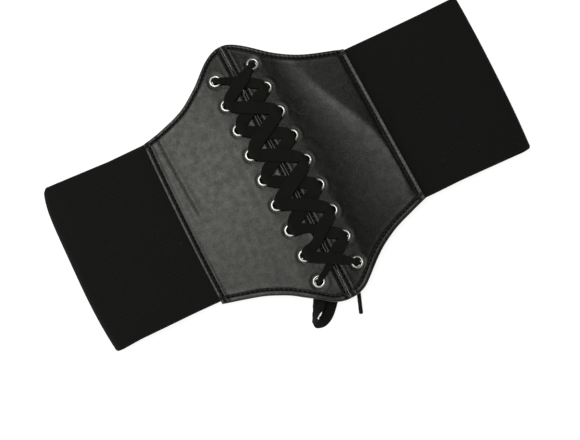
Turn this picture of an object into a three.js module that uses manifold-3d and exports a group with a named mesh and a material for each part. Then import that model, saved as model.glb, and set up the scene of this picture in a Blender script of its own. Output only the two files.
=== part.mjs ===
// A lace-up corset belt lying flat: a bell-shaped leather front in two halves, laced over its middle
// seam through eighteen metal eyelets, and one wide elastic band that closes the loop behind it.
// Millimetres. +X runs along the belt, +Y up the laced front, +Z up from the surface it lies on.
// The origin is on that surface, under the middle of the belt.
import * as THREE from "three";
import { mergeVertices } from "three/addons/utils/BufferGeometryUtils.js";
import Module from "manifold-3d";

const wasm = await Module();
wasm.setup();

// The elastic band
const foldToFold = 314.7; // length of the belt laid flat, along its middle
const frontOffset = -5; // the front's middle seam lies this far off the middle between the folds
const bandHeight = 119.5;
const bandSeamHeight = 119; // gathered a little where it is sewn under the leather
const bandThick = 1.5;
const bandLap = 9; // length of band under the leather at each seam
const foldClear = 7; // clear height inside each end fold
const seamClear = 4.9; // clear height under the band at the seams
const wingDrop = { left: -1.7, right: 0.9 }; // degrees that each wing runs down, away from the front
const foldLean = { left: 1.5, right: 3.6 }; // degrees that each fold leans to the right at its top
const backRise = 2; // the back layer bows up by this between the folds

// The leather front
const frontWidth = 152;
const frontPeakHeight = 198.6;
const frontSeamHeight = 119.8;
const leatherThick = 1.8;
const seatGap = 0.3; // between pieces that lie on each other
const middleSlit = 0.5; // between the two halves' folded edges
const crownRise = 2.0; // the middle stands this much higher than the seams
const peakSag = 1.4; // the unsupported peaks droop by this
const peakRound = 0.3; // rounding of the peak, as a share of the half width
const flankCurve = { hollow: 3.45, straight: 0.42 }; // exponent, and share of plain slope
const lapDip = { depth: 0.5, halfWidth: 4 }; // beside the band's end, under the leather
const creaseRise = 1.5; // soft slanting ridge down the right half
const creaseHalfWidth = 12;
const creaseEnds = { top: [0.61, 0.74], foot: [0.87, -0.49] }; // shares of half width, half height

// Stitch lines press a groove into the leather this far inside each kind of edge
const hemStitch = 3.0;
const seamStitch = 3.1;
const middleStitch = 2.4;
const plainShares = [0.05, 0.12, 0.21, 0.34, 0.52, 0.74]; // columns between the hems, closer at the peak
// One row for each point of a hem, as shares of the stitch distance and of the leather's thickness
const hemProfile = [
  { away: 0, rise: -0.22 },
  { away: 0.45, rise: 0.03 },
  { away: 1, rise: -0.22 },
  { away: 1.4, rise: 0 },
];

// The eyelets
const eyeletRows = 9;
const eyeletSpan = 155; // first row to last
const eyeletHalfSpread = 14.3; // from the middle seam, at the first and last rows
const eyeletBow = 1.5; // the columns bow out by this at the middle row
const eyeletBore = 5.3;
const eyeletWall = 0.4;
const eyeletFlange = 8.4;
const eyeletRim = 0.85; // height of the rolled rim above the leather
const eyeletBackFlange = 7.8;
const eyeletBackRim = 0.6;
const eyeletHoleClear = 0.25; // between the barrel and the hole in the leather
const eyeletSeat = 0.2; // between the flange and the leather
const eyeletSides = 12;

// The lace
const laceWidth = 7.2;
const laceThick = 0.9;
const laceBunchWide = 2.1; // bunched section inside an eyelet
const laceBunchDeep = 2.3;
const laceGap = 0.25; // between strands, and between a strand and what it lies on
const agletDiameter = 2.9;
const agletLength = 14;
const knotSize = { x: 10.5, y: 8.5, z: 4.8 };
const knotAboveLastRow = 7.5;

// Values worked out from the sizes above
const bandHalf = bandHeight / 2;
const panelHalf = frontWidth / 2;
const peakHalf = frontPeakHeight / 2;
const seamHalf = frontSeamHeight / 2;
const slitHalf = middleSlit / 2;
const lapStart = panelHalf - bandLap;
const bandSeamMid = bandThick + seamClear + bandThick / 2;
const bandFoldMid = bandThick + foldClear + bandThick / 2;
const foldRadius = (foldClear + bandThick) / 2;
const seamTop = bandSeamMid + bandThick / 2 + seatGap + leatherThick;

const smooth = (t) => {
  const c = Math.min(1, Math.max(0, t));
  return c * c * (3 - 2 * c);
};
const mix = (a, b, t) => a + (b - a) * t;

// Height of the front's free edge above the belt's axis
function edgeY(x) {
  const across = Math.min(1, Math.abs(x) / panelHalf);
  const reach = (Math.hypot(across, peakRound) - peakRound) / (Math.hypot(1, peakRound) - peakRound);
  const { hollow, straight } = flankCurve;
  const share = (1 - straight) * (1 - reach) ** hollow + straight * (1 - reach);
  return seamHalf + (peakHalf - seamHalf) * share;
}

// Height of the soft diagonal ridge on the right half
function creaseAt(x, y) {
  const [ax, ay] = [creaseEnds.top[0] * panelHalf, creaseEnds.top[1] * peakHalf];
  const [bx, by] = [creaseEnds.foot[0] * panelHalf, creaseEnds.foot[1] * peakHalf];
  const long = Math.hypot(bx - ax, by - ay);
  const off = ((x - ax) * (by - ay) - (y - ay) * (bx - ax)) / long;
  const inside = smooth((x / panelHalf - 0.3) / 0.25) * smooth((0.99 - x / panelHalf) / 0.14);
  return creaseRise * Math.exp(-((off / creaseHalfWidth) ** 2)) * inside;
}

// Top of the leather, before its hems are pressed in
function leatherTop(x, y) {
  const across = Math.abs(x) / panelHalf;
  const crown = crownRise * (1 - smooth((across - 0.22) / 0.58));
  const dipAt = (lapStart - lapDip.halfWidth - Math.abs(x)) / lapDip.halfWidth;
  const dip = lapDip.depth * Math.max(0, 1 - dipAt * dipAt);
  const overhang = Math.max(0, Math.abs(y) - bandHalf) / (peakHalf - bandHalf);
  return seamTop + crown - dip - peakSag * overhang ** 2 + creaseAt(x, y);
}

// How far a stitched hem is pressed in or stands up, at a distance from its edge
function hemRise(away, stitch) {
  const share = away / stitch;
  const next = hemProfile.findIndex((row) => row.away > share);
  if (next < 0) return 0;
  const [a, b] = [hemProfile[next - 1], hemProfile[next]];
  return leatherThick * mix(a.rise, b.rise, (share - a.away) / (b.away - a.away));
}

// A closed body from points and triangles, with its faces turned out
function closedBody(points, faces) {
  const position = new Float32Array(points.flatMap((p) => [p.x, p.y, p.z]));
  const volume = faces.reduce((sum, [a, b, c]) => {
    const cross = new THREE.Vector3().crossVectors(points[b], points[c]);
    return sum + points[a].dot(cross);
  }, 0);
  const index = faces.flatMap(([a, b, c]) => (volume < 0 ? [a, c, b] : [a, b, c]));
  const geometry = new THREE.BufferGeometry();
  geometry.setAttribute("position", new THREE.BufferAttribute(position, 3));
  geometry.setIndex(index);
  return geometry;
}

// A curved slab between an upper and a lower grid of points, closed round its border
function slab(columns, rows, upper, lower) {
  const points = [];
  const faces = [];
  const quad = (a, b, c, d) => faces.push([a, b, c], [a, c, d]);
  for (const surface of [upper, lower]) {
    for (let i = 0; i < columns; i++) {
      for (let j = 0; j < rows; j++) points.push(surface(i, j));
    }
  }
  const at = (i, j) => i * rows + j;
  const under = columns * rows;
  for (let i = 0; i < columns - 1; i++) {
    for (let j = 0; j < rows - 1; j++) {
      quad(at(i, j), at(i + 1, j), at(i + 1, j + 1), at(i, j + 1));
      quad(under + at(i, j), under + at(i, j + 1), under + at(i + 1, j + 1), under + at(i + 1, j));
    }
  }
  const rim = (a, b) => quad(a, under + a, under + b, b);
  for (let i = 0; i < columns - 1; i++) {
    rim(at(i, 0), at(i + 1, 0));
    rim(at(i + 1, rows - 1), at(i, rows - 1));
  }
  for (let j = 0; j < rows - 1; j++) {
    rim(at(columns - 1, j), at(columns - 1, j + 1));
    rim(at(0, j + 1), at(0, j));
  }
  return closedBody(points, faces);
}

// A closed mesh as a manifold-3d solid, and back again
function toSolid(geometry) {
  const bare = geometry.clone();
  bare.deleteAttribute("normal");
  bare.deleteAttribute("uv");
  const merged = mergeVertices(bare, 1e-4);
  const vertProperties = merged.attributes.position.array;
  const triVerts = new Uint32Array(merged.index.array);
  return new wasm.Manifold(new wasm.Mesh({ numProp: 3, vertProperties, triVerts }));
}

function toGeometry(solid) {
  const mesh = solid.getMesh();
  const geometry = new THREE.BufferGeometry();
  geometry.setAttribute("position", new THREE.BufferAttribute(mesh.vertProperties, 3));
  geometry.setIndex(new THREE.BufferAttribute(mesh.triVerts, 1));
  return geometry;
}

// Distances from one edge that a hem's profile needs
const hemLevels = (stitch) => hemProfile.map((row) => row.away * stitch);

// Where each eyelet sits: side is -1 or 1, row counts down from the top
function eyeletPlace(side, row) {
  const fromMiddle = 1 - (2 * row) / (eyeletRows - 1);
  const x = side * (eyeletHalfSpread + eyeletBow * (1 - fromMiddle ** 2));
  const y = (eyeletSpan / 2) * fromMiddle;
  return { x, y, top: leatherTop(x, y), under: leatherTop(x, y) - leatherThick };
}

// Turns something made round +Z so that it stands square to the leather at an eyelet
function squareToLeather(geometry, place) {
  const step = 0.5;
  const slopeX = (leatherTop(place.x + step, place.y) - leatherTop(place.x - step, place.y)) / (2 * step);
  const slopeY = (leatherTop(place.x, place.y + step) - leatherTop(place.x, place.y - step)) / (2 * step);
  const normal = new THREE.Vector3(-slopeX, -slopeY, 1).normalize();
  const turn = new THREE.Quaternion().setFromUnitVectors(new THREE.Vector3(0, 0, 1), normal);
  return geometry.applyQuaternion(turn).translate(place.x, place.y, place.top);
}

// One half of the leather front, with its hems pressed in and its eyelet holes cut
function leatherHalf(side) {
  const width = panelHalf - slitHalf;
  const inner = hemLevels(middleStitch);
  const outer = hemLevels(seamStitch).map((d) => width - d);
  const lapEdges = [0, 1, 2].map((n) => width - bandLap - n * lapDip.halfWidth);
  const plain = plainShares.map((share) => mix(inner.at(-1), lapEdges.at(-1), share));
  const across = [...inner, ...plain, ...lapEdges.reverse(), ...outer.reverse()];
  const hem = hemLevels(hemStitch);
  const plainRows = 9;
  const rows = 2 * hem.length + plainRows;
  const spot = (i, j) => {
    const x = slitHalf + across[i];
    const edge = edgeY(x);
    const last = hem.at(-1);
    if (j < hem.length) return { x, y: -edge + hem[j], away: hem[j] };
    if (j >= rows - hem.length) return { x, y: edge - hem[rows - 1 - j], away: hem[rows - 1 - j] };
    const share = (j - hem.length + 1) / (plainRows + 1);
    return { x, y: mix(-edge + last, edge - last, share), away: Infinity };
  };
  const upper = (i, j) => {
    const { x, y, away } = spot(i, j);
    const rise = Math.min(
      hemRise(away, hemStitch),
      hemRise(across[i], middleStitch),
      hemRise(width - across[i], seamStitch),
    );
    return new THREE.Vector3(side * x, y, leatherTop(side * x, y) + rise);
  };
  const lower = (i, j) => {
    const { x, y } = spot(i, j);
    return new THREE.Vector3(side * x, y, leatherTop(side * x, y) - leatherThick);
  };
  let solid = toSolid(slab(across.length, rows, upper, lower));
  const holeRadius = eyeletBore / 2 + eyeletWall + eyeletHoleClear;
  for (let row = 0; row < eyeletRows; row++) {
    const punch = new THREE.CylinderGeometry(holeRadius, holeRadius, 4 * leatherThick, eyeletSides);
    punch.rotateX(Math.PI / 2);
    solid = solid.subtract(toSolid(squareToLeather(punch, eyeletPlace(side, row))));
  }
  return toGeometry(solid);
}

// An eyelet: rolled rim, barrel and turned-over back, as one ring of metal
function eyeletRing() {
  const bore = eyeletBore / 2;
  const barrel = bore + eyeletWall;
  const flange = eyeletFlange / 2;
  const back = eyeletBackFlange / 2;
  const seat = eyeletSeat;
  const under = -leatherThick - eyeletSeat;
  const profile = [
    [bore, under - eyeletBackRim],
    [bore, eyeletRim * 0.55],
    [mix(bore, flange, 0.45), eyeletRim],
    [flange, seat],
    [barrel, seat],
    [barrel, under],
    [back, under],
    [bore, under - eyeletBackRim],
  ];
  const points = profile.map(([r, z]) => new THREE.Vector2(r, z));
  const ring = new THREE.LatheGeometry(points.reverse(), eyeletSides);
  ring.rotateX(Math.PI / 2);
  ring.rotateZ(Math.PI / eyeletSides);
  return ring;
}

// Each wing of the band: its side, how far its fold lies from the front's middle seam, and the
// slopes of its middle line and of its fold
const slopeOf = (degrees) => Math.tan(THREE.MathUtils.degToRad(degrees));
const wings = [
  { side: -1, fold: foldToFold / 2 + frontOffset, drop: slopeOf(wingDrop.left), lean: slopeOf(foldLean.left) },
  { side: 1, fold: foldToFold / 2 - frontOffset, drop: slopeOf(wingDrop.right), lean: slopeOf(foldLean.right) },
];

// The band's route through the middle of its thickness, from one seam round behind to the other
function bandRoute() {
  const stations = [];
  const frontSteps = 6;
  const foldSteps = 8;
  const backSteps = 4;
  for (const { side, fold, drop, lean } of wings) {
    const centreX = fold - foldRadius - bandThick / 2;
    const front = [];
    for (let i = 0; i <= frontSteps; i++) {
      const x = mix(lapStart, centreX, i / frontSteps);
      const z = mix(bandSeamMid, bandFoldMid, smooth((x - panelHalf) / (centreX - panelHalf)));
      const past = Math.max(0, x - panelHalf);
      const free = past / (fold - panelHalf);
      front.push({ x: side * x, z, out: [0, 1], shift: -drop * past, free, lean });
    }
    for (let i = 1; i <= foldSteps; i++) {
      const turn = (Math.PI * i) / foldSteps;
      const out = [side * Math.sin(turn), Math.cos(turn)];
      const x = side * centreX + foldRadius * out[0];
      const z = bandThick / 2 + foldRadius * (1 + out[1]);
      front.push({ x, z, out, shift: -drop * (fold - panelHalf), free: 1, lean });
    }
    stations.push(front);
  }
  const [from, to] = stations.map((front) => front.at(-1));
  const back = [];
  for (let i = 1; i < backSteps; i++) {
    const share = i / backSteps;
    const x = mix(from.x, to.x, share);
    const shift = mix(from.shift, to.shift, share) + backRise * (1 - (2 * share - 1) ** 4);
    back.push({ x, z: bandThick / 2, out: [0, -1], shift, free: 1, lean: mix(from.lean, to.lean, share) });
  }
  return [...stations[0], ...back, ...stations[1].reverse()];
}

function elasticBand() {
  const route = bandRoute();
  const rows = 3;
  const place = (skin) => (i, j) => {
    const { x, z, out, shift, free, lean } = route[i];
    const eased = smooth(free * 2);
    const along = ((2 * j) / (rows - 1) - 1) * mix(bandSeamHeight / 2, bandHalf, eased);
    const reach = (skin * bandThick) / 2;
    const fan = along * lean * smooth(free);
    return new THREE.Vector3(x + out[0] * reach + fan, along + shift, z + out[1] * reach);
  };
  return slab(route.length, rows, place(1), place(-1));
}

// A flat lace or ribbon along a smooth curve through its controls, with a six-sided section.
// Each control has its place, the direction its width lies in, and its half width and half thickness.
function ribbon(controls, steps) {
  const curve = new THREE.CatmullRomCurve3(controls.map((c) => c.at), false, "centripetal");
  const spans = controls.length - 1;
  const section = [
    [1, 0],
    [0.7, 1],
    [-0.7, 1],
    [-1, 0],
    [-0.7, -1],
    [0.7, -1],
  ];
  const points = [];
  const faces = [];
  const rings = spans * steps + 1;
  for (let i = 0; i < rings; i++) {
    const t = i / (rings - 1);
    const span = Math.min(spans - 1, Math.floor(i / steps));
    const local = i / steps - span;
    const [a, b] = [controls[span], controls[span + 1]];
    const centre = curve.getPoint(t);
    const tangent = curve.getTangent(t);
    const across = a.across.clone().lerp(b.across, local);
    const normal = new THREE.Vector3().crossVectors(tangent, across).normalize();
    across.crossVectors(normal, tangent).normalize();
    const wide = mix(a.wide, b.wide, local);
    const deep = mix(a.deep, b.deep, local);
    for (const [u, v] of section) {
      points.push(centre.clone().addScaledVector(across, u * wide).addScaledVector(normal, v * deep));
    }
  }
  const sides = section.length;
  for (let i = 0; i < rings - 1; i++) {
    for (let k = 0; k < sides; k++) {
      const [a, b] = [i * sides + k, i * sides + ((k + 1) % sides)];
      faces.push([a, b, b + sides], [a, b + sides, a + sides]);
    }
  }
  const lastRing = (rings - 1) * sides;
  for (let k = 1; k < sides - 1; k++) {
    faces.push([0, k + 1, k], [lastRing, lastRing + k, lastRing + k + 1]);
  }
  return closedBody(points, faces);
}

// The flat section and the bunched one that fits an eyelet beside a second strand
const flat = { wide: laceWidth / 2, deep: laceThick / 2 };
const bunched = { wide: laceBunchWide / 2, deep: laceBunchDeep / 2 };
const bunchOffset = laceBunchWide / 2 + laceGap / 2;

// Controls of one strand across the front, from inside one eyelet to inside another.
// rise is how high the strand's middle line runs over the leather where two strands cross.
function frontStrand(from, to, rise) {
  const heading = new THREE.Vector2(to.x - from.x, to.y - from.y);
  const half = heading.length() / 2;
  heading.normalize();
  const across = new THREE.Vector3(-heading.y, heading.x, 0);
  const overRim = eyeletRim + laceGap;
  const flange = eyeletFlange / 2;
  const spread = (share) => mix(bunched.wide, flat.wide, share);
  const thin = (share) => mix(bunched.deep, flat.deep, share);
  const settled = mix(overRim + flat.deep, rise, 0.4);
  const sections = [
    { reach: 0.12 * flange, height: overRim * 1.15, wide: spread(0), deep: thin(0.18) },
    { reach: 0.48 * flange, height: overRim + thin(0.35), wide: spread(0.12), deep: thin(0.38) },
    { reach: 0.85 * flange, height: overRim + thin(0.5), wide: spread(0.36), deep: thin(0.5) },
    { reach: 1.75 * flange, height: settled, wide: spread(0.85), deep: thin(0.85) },
    { reach: half * 0.68, height: rise, ...flat },
  ];
  const inBore = new THREE.Vector3(0, Math.sign(heading.x), 0);
  const end = (hole, sign) =>
    sections.map(({ reach, height, wide, deep }) => {
      const x = hole.x + sign * heading.x * reach;
      const y = hole.y + hole.offset * (1 - reach / half) + sign * heading.y * reach;
      const turned = inBore.clone().lerp(across, Math.min(1, reach / flange));
      return { at: new THREE.Vector3(x, y, leatherTop(x, y) + height), across: turned, wide, deep };
    });
  return [...end(from, 1), ...end(to, -1).reverse()];
}

// Controls of one bar behind the front, low being how far its middle line runs below the leather
function backBar(from, to, low) {
  const sign = Math.sign(to.x - from.x);
  const across = new THREE.Vector3(0, -sign, 0);
  const flange = eyeletBackFlange / 2;
  const spread = (share) => mix(bunched.wide, flat.wide, share);
  const thin = (share) => mix(bunched.deep, flat.deep, share);
  const turning = thin(0.72);
  const sections = [
    { reach: 0.08 * flange, drop: eyeletBackRim * 1.7, apart: 1, wide: spread(0), deep: thin(0.25) },
    { reach: 0.5 * flange, drop: low + turning - flat.deep, apart: 1.1, wide: spread(0.06), deep: turning },
    { reach: flange, drop: low, apart: 1.7, wide: spread(0.25), deep: flat.deep },
    { reach: 1.9 * flange, drop: low, apart: 1.5, wide: spread(0.7), deep: flat.deep },
  ];
  const end = (hole, way) =>
    sections.map(({ reach, drop, apart, wide, deep }) => {
      const [x, y] = [hole.x + way * sign * reach, hole.y + hole.offset * apart];
      return { at: new THREE.Vector3(x, y, hole.under - drop), across, wide, deep };
    });
  return [...end(from, 1), ...end(to, -1).reverse()];
}

// The control halfway through an eyelet's bore, for a lace that crosses the front towards sign
function boreControl(hole, sign) {
  const at = new THREE.Vector3(hole.x, hole.y + hole.offset, (hole.top + hole.under) / 2);
  return { at, across: new THREE.Vector3(0, sign, 0), ...bunched };
}

const passUnder = laceGap + flat.deep;
const passOver = passUnder + laceThick + laceGap;
const barHigh = eyeletBackRim + laceGap + flat.deep;
const barLow = barHigh + laceThick + laceGap;

const lastRow = eyeletRows - 1;
const knotY = eyeletPlace(1, lastRow).y + knotAboveLastRow;
const knot = new THREE.Vector3(1, knotY, 0);
knot.z = leatherTop(knot.x, knot.y) - leatherThick - eyeletBackRim - laceGap - knotSize.z / 2;

// Stitches one end of the lace down the front, from its first eyelet on startSide to the knot.
// It goes out at one side, over the front to the next row on the other side, in, and straight back
// behind the leather. The two ends mirror each other.
function laceEnd(startSide, drop) {
  const hole = (side, row, offset) => ({ ...eyeletPlace(side, row), offset });
  const single = (row) => row === 0 || row === lastRow;
  const controls = [];
  let out = hole(startSide, 0, 0);
  for (let row = 0; row < lastRow; row++) {
    const into = hole(-startSide, row + 1, single(row + 1) ? 0 : bunchOffset);
    const isOver = (row % 2 === 1) === (startSide < 0);
    const strand = frontStrand(out, into, isOver ? passOver : passUnder);
    controls.push(boreControl(out, -startSide), ...strand, boreControl(into, -startSide));
    if (row + 1 === lastRow) break;
    const next = hole(startSide, row + 1, -bunchOffset);
    controls.push(...backBar(into, next, drop));
    out = next;
  }
  const side = -startSide;
  const last = eyeletPlace(side, lastRow);
  const across = new THREE.Vector3(0, side, 0);
  const knotReach = knotSize.x / 2 + 3 * seatGap;
  const low = last.under - eyeletBackRim * 1.7;
  const pulled = { across, wide: bunched.wide * 1.3, deep: flat.deep * 1.5 };
  const turnIn = new THREE.Vector3(last.x, last.y, last.under - barHigh - flat.deep);
  turnIn.x -= side * 0.65 * eyeletBackFlange / 2;
  turnIn.y += 0.22 * knotAboveLastRow;
  controls.push({ at: new THREE.Vector3(last.x - side * 0.3, last.y, low), across, ...bunched });
  controls.push({ at: turnIn, ...pulled });
  controls.push({ at: new THREE.Vector3(knot.x + side * knotReach, knot.y, knot.z), ...pulled });
  return controls;
}

// The whole threaded lace: both ends, joined by the bar behind the first row
function threadedLace() {
  const left = laceEnd(-1, barHigh).map((c) => ({ ...c, across: c.across.clone().negate() }));
  const right = laceEnd(1, barLow);
  const first = (side) => ({ ...eyeletPlace(side, 0), offset: 0 });
  const bar = backBar(first(-1), first(1), barHigh);
  return ribbon([...left.reverse(), ...bar, ...right], 1);
}

// The bow tied behind the last row. Routes are chosen points: x and y from the knot, z from the
// surface, tilt of the ribbon in degrees from lying flat, and width as a share of the lace's own.
const loopRoutes = {
  left: [
    { x: -2.4, y: -4.7, z: 5.0, tilt: 0, wide: 0.55 },
    { x: -5.2, y: -11.2, z: 3.5, tilt: 0, wide: 0.95 },
    { x: -9.4, y: -17.6, z: 2.4, tilt: 0, wide: 1.2 },
    { x: -14.2, y: -23.2, z: 1.6, tilt: 0, wide: 1.2 },
    { x: -18.6, y: -28.4, z: 1.3, tilt: 0, wide: 1.15 },
    { x: -23.0, y: -31.6, z: 1.6, tilt: -12, wide: 0.95 },
    { x: -27.2, y: -31.8, z: 2.3, tilt: -38, wide: 0.85 },
    { x: -28.6, y: -28.4, z: 2.9, tilt: -50, wide: 0.8 },
    { x: -26.4, y: -24.6, z: 3.3, tilt: -44, wide: 0.9 },
    { x: -21.8, y: -19.8, z: 4.1, tilt: -24, wide: 1 },
    { x: -16.6, y: -14.6, z: 5.0, tilt: -16, wide: 1 },
    { x: -11.6, y: -8.6, z: 5.6, tilt: -8, wide: 0.8 },
    { x: -5.9, y: -3.6, z: 5.6, tilt: 0, wide: 0.5 },
  ],
  right: [
    { x: 4.7, y: -1.8, z: 5.0, tilt: 0, wide: 0.45 },
    { x: 11.0, y: -3.0, z: 3.0, tilt: 0, wide: 0.8 },
    { x: 17.5, y: -3.8, z: 1.9, tilt: 8, wide: 0.9 },
    { x: 23.5, y: -3.6, z: 2.1, tilt: 35, wide: 0.9 },
    { x: 28.2, y: -0.4, z: 3.1, tilt: 60, wide: 0.8 },
    { x: 27.4, y: 4.6, z: 3.4, tilt: 62, wide: 0.8 },
    { x: 21.5, y: 5.9, z: 3.6, tilt: 50, wide: 0.8 },
    { x: 14.0, y: 5.0, z: 4.3, tilt: 25, wide: 0.7 },
    { x: 4.7, y: 2.2, z: 5.0, tilt: 0, wide: 0.45 },
  ],
};
const tailRoutes = {
  left: [
    { x: -4.6, y: 2.6, z: 5.6, tilt: 0, wide: 0.5 },
    { x: -10.5, y: 4.2, z: 4.2, tilt: 0, wide: 0.85 },
    { x: -18.5, y: 3.8, z: 2.4, tilt: 0, wide: 1 },
    { x: -26.5, y: 1.6, z: 1.1, tilt: 0, wide: 1 },
    { x: -33.5, y: 1.6, z: 0.9, tilt: 0, wide: 0.9 },
    { x: -38.5, y: 3.4, z: 1.2, tilt: 0, wide: 0.5 },
  ],
  right: [
    { x: 1.4, y: -5.0, z: 5.0, tilt: 0, wide: 0.5 },
    { x: 4.4, y: -8.8, z: 3.8, tilt: 0, wide: 0.8 },
    { x: 7.6, y: -12.6, z: 2.3, tilt: 0, wide: 0.95 },
    { x: 7.9, y: -17.0, z: 1.1, tilt: 0, wide: 0.95 },
    { x: 5.85, y: -21.2, z: 0.9, tilt: 0, wide: 0.75 },
    { x: 4.9, y: -25.3, z: 1.4, tilt: 0, wide: 0.4 },
  ],
};

function freeRibbon(route) {
  const at = route.map((row) => new THREE.Vector3(knot.x + row.x, knot.y + row.y, row.z));
  const controls = route.map((row, i) => {
    const ahead = at[Math.min(i + 1, at.length - 1)];
    const behind = at[Math.max(i - 1, 0)];
    const heading = new THREE.Vector3().subVectors(ahead, behind).normalize();
    const level = new THREE.Vector3(-heading.y, heading.x, 0).normalize();
    const across = level.applyAxisAngle(heading, THREE.MathUtils.degToRad(row.tilt));
    const bunch = 1 - row.wide;
    return { at: at[i], across, wide: flat.wide * row.wide, deep: flat.deep * (1 + bunch) };
  });
  return ribbon(controls, 2);
}

// The hard tip that closes a tail: a small tube end, lying on the surface where the tail ends
function aglet(route, gap) {
  const end = route.at(-1);
  const before = route.at(-2);
  const heading = new THREE.Vector3(end.x - before.x, end.y - before.y, 0).normalize();
  const radius = agletDiameter / 2;
  const round = radius * 0.35;
  const half = agletLength / 2;
  const profile = [
    [0, -half],
    [radius * 0.9, -half],
    [radius, -half + round],
    [radius, half - round],
    [radius - round, half],
    [0, half],
  ];
  const tip = new THREE.LatheGeometry(profile.map(([r, y]) => new THREE.Vector2(r, y)), eyeletSides);
  const turn = new THREE.Quaternion().setFromUnitVectors(new THREE.Vector3(0, 1, 0), heading);
  const centre = new THREE.Vector3(knot.x + end.x, knot.y + end.y, radius + 0.02);
  centre.addScaledVector(heading, half + gap);
  return tip.applyQuaternion(turn).translate(centre.x, centre.y, centre.z);
}

function bowKnot() {
  const core = new THREE.SphereGeometry(0.5, 12, 8);
  core.rotateX(Math.PI / 2);
  core.scale(knotSize.x, knotSize.y, knotSize.z);
  core.deleteAttribute("normal");
  core.deleteAttribute("uv");
  return mergeVertices(core.translate(knot.x, knot.y, knot.z), 1e-4);
}

const leather = new THREE.MeshStandardMaterial({ color: 0x3a3b38, roughness: 0.42, metalness: 0 });
const elastic = new THREE.MeshStandardMaterial({ color: 0x1a1a1a, roughness: 0.95, metalness: 0 });
const woven = new THREE.MeshStandardMaterial({ color: 0x141412, roughness: 0.9, metalness: 0 });
const nickel = new THREE.MeshStandardMaterial({ color: 0xd9d8d2, roughness: 0.25, metalness: 1 });
const film = new THREE.MeshStandardMaterial({ color: 0x0d0d0d, roughness: 0.35, metalness: 0 });

const belt = new THREE.Group();
function add(name, geometry, material) {
  const mesh = new THREE.Mesh(geometry.translate(frontOffset, 0, 0), material);
  mesh.name = name;
  belt.add(mesh);
}

add("elastic_band", elasticBand(), elastic);
add("leather_left", leatherHalf(-1), leather);
add("leather_right", leatherHalf(1), leather);
for (const [side, word] of [[-1, "left"], [1, "right"]]) {
  for (let row = 0; row < eyeletRows; row++) {
    add(`eyelet_${word}_${row + 1}`, squareToLeather(eyeletRing(), eyeletPlace(side, row)), nickel);
  }
}
add("lace", threadedLace(), woven);
add("bow_knot", bowKnot(), woven);
add("bow_loop_left", freeRibbon(loopRoutes.left), woven);
add("bow_loop_right", freeRibbon(loopRoutes.right), woven);
add("lace_tail_left", freeRibbon(tailRoutes.left), woven);
add("lace_tail_right", freeRibbon(tailRoutes.right), woven);
add("aglet_left", aglet(tailRoutes.left, seatGap), film);
add("aglet_right", aglet(tailRoutes.right, seatGap), film);

export default belt;
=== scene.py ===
"""Looks of the lace-up corset belt, laid flat: leather front, eyelets, lace, bow and elastic band.
Lengths in the tables and shaping functions are in millimetres; meshes are made in metres."""
import math

import bpy
import numpy as np
from mathutils import Matrix


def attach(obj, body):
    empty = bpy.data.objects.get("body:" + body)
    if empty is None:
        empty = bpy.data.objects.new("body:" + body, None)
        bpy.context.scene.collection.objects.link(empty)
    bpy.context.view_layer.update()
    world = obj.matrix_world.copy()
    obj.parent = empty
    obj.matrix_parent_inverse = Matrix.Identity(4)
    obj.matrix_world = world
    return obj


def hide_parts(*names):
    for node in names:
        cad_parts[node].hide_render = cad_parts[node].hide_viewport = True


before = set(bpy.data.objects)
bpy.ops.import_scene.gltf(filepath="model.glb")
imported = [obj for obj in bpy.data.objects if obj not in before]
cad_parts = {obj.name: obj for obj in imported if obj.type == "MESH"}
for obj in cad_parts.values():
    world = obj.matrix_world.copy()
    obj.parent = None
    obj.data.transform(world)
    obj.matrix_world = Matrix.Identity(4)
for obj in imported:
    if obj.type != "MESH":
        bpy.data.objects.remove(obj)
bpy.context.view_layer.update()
MM = 0.001

# Sizes of the belt, as the solids have them
FOLD_TO_FOLD = 314.7
FRONT_OFFSET = -5.0
BAND_HEIGHT = 119.5
BAND_SEAM_HEIGHT = 119.0
BAND_THICK = 1.5
BAND_LAP = 9.0
FOLD_CLEAR = 7.0
SEAM_CLEAR = 4.9
BACK_RISE = 2.0
FRONT_WIDTH = 152.0
FRONT_PEAK_HEIGHT = 198.6
FRONT_SEAM_HEIGHT = 119.8
LEATHER_THICK = 1.8
SEAT_GAP = 0.3
MIDDLE_SLIT = 0.06
CROWN_RISE = 2.0
PEAK_SAG = 1.4
PEAK_ROUND = 0.3
FLANK_HOLLOW = 3.45
FLANK_STRAIGHT = 0.42
CREASE_RISE = 1.5
CREASE_HALF_WIDTH = 12.0
HEM_STITCH = 3.0
LOW_HEM_STITCH = 3.8
SEAM_STITCH = 3.1
MIDDLE_STITCH = 2.4
STITCH_PITCH = 3.1
EYELET_ROWS = 9
EYELET_SPAN = 155.0
EYELET_HALF_SPREAD = 14.3
EYELET_BOW = 1.5
EYELET_BORE = 5.3
EYELET_WALL = 0.4
EYELET_FLANGE = 8.4
EYELET_RIM = 0.85
EYELET_BACK_FLANGE = 7.8
EYELET_BACK_RIM = 0.6
EYELET_SEAT = 0.2
LACE_WIDTH = 7.2
LACE_THICK = 0.9
LACE_SPREAD = 8.8
LACE_BUNCH_WIDE = 2.3
LACE_BUNCH_DEEP = 3.3
LACE_GAP = 0.25
AGLET_DIAMETER = 2.9
AGLET_LENGTH = 14.0
KNOT_SIZE = (10.5, 8.5, 4.8)
KNOT_ABOVE_LAST_ROW = 7.5

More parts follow.
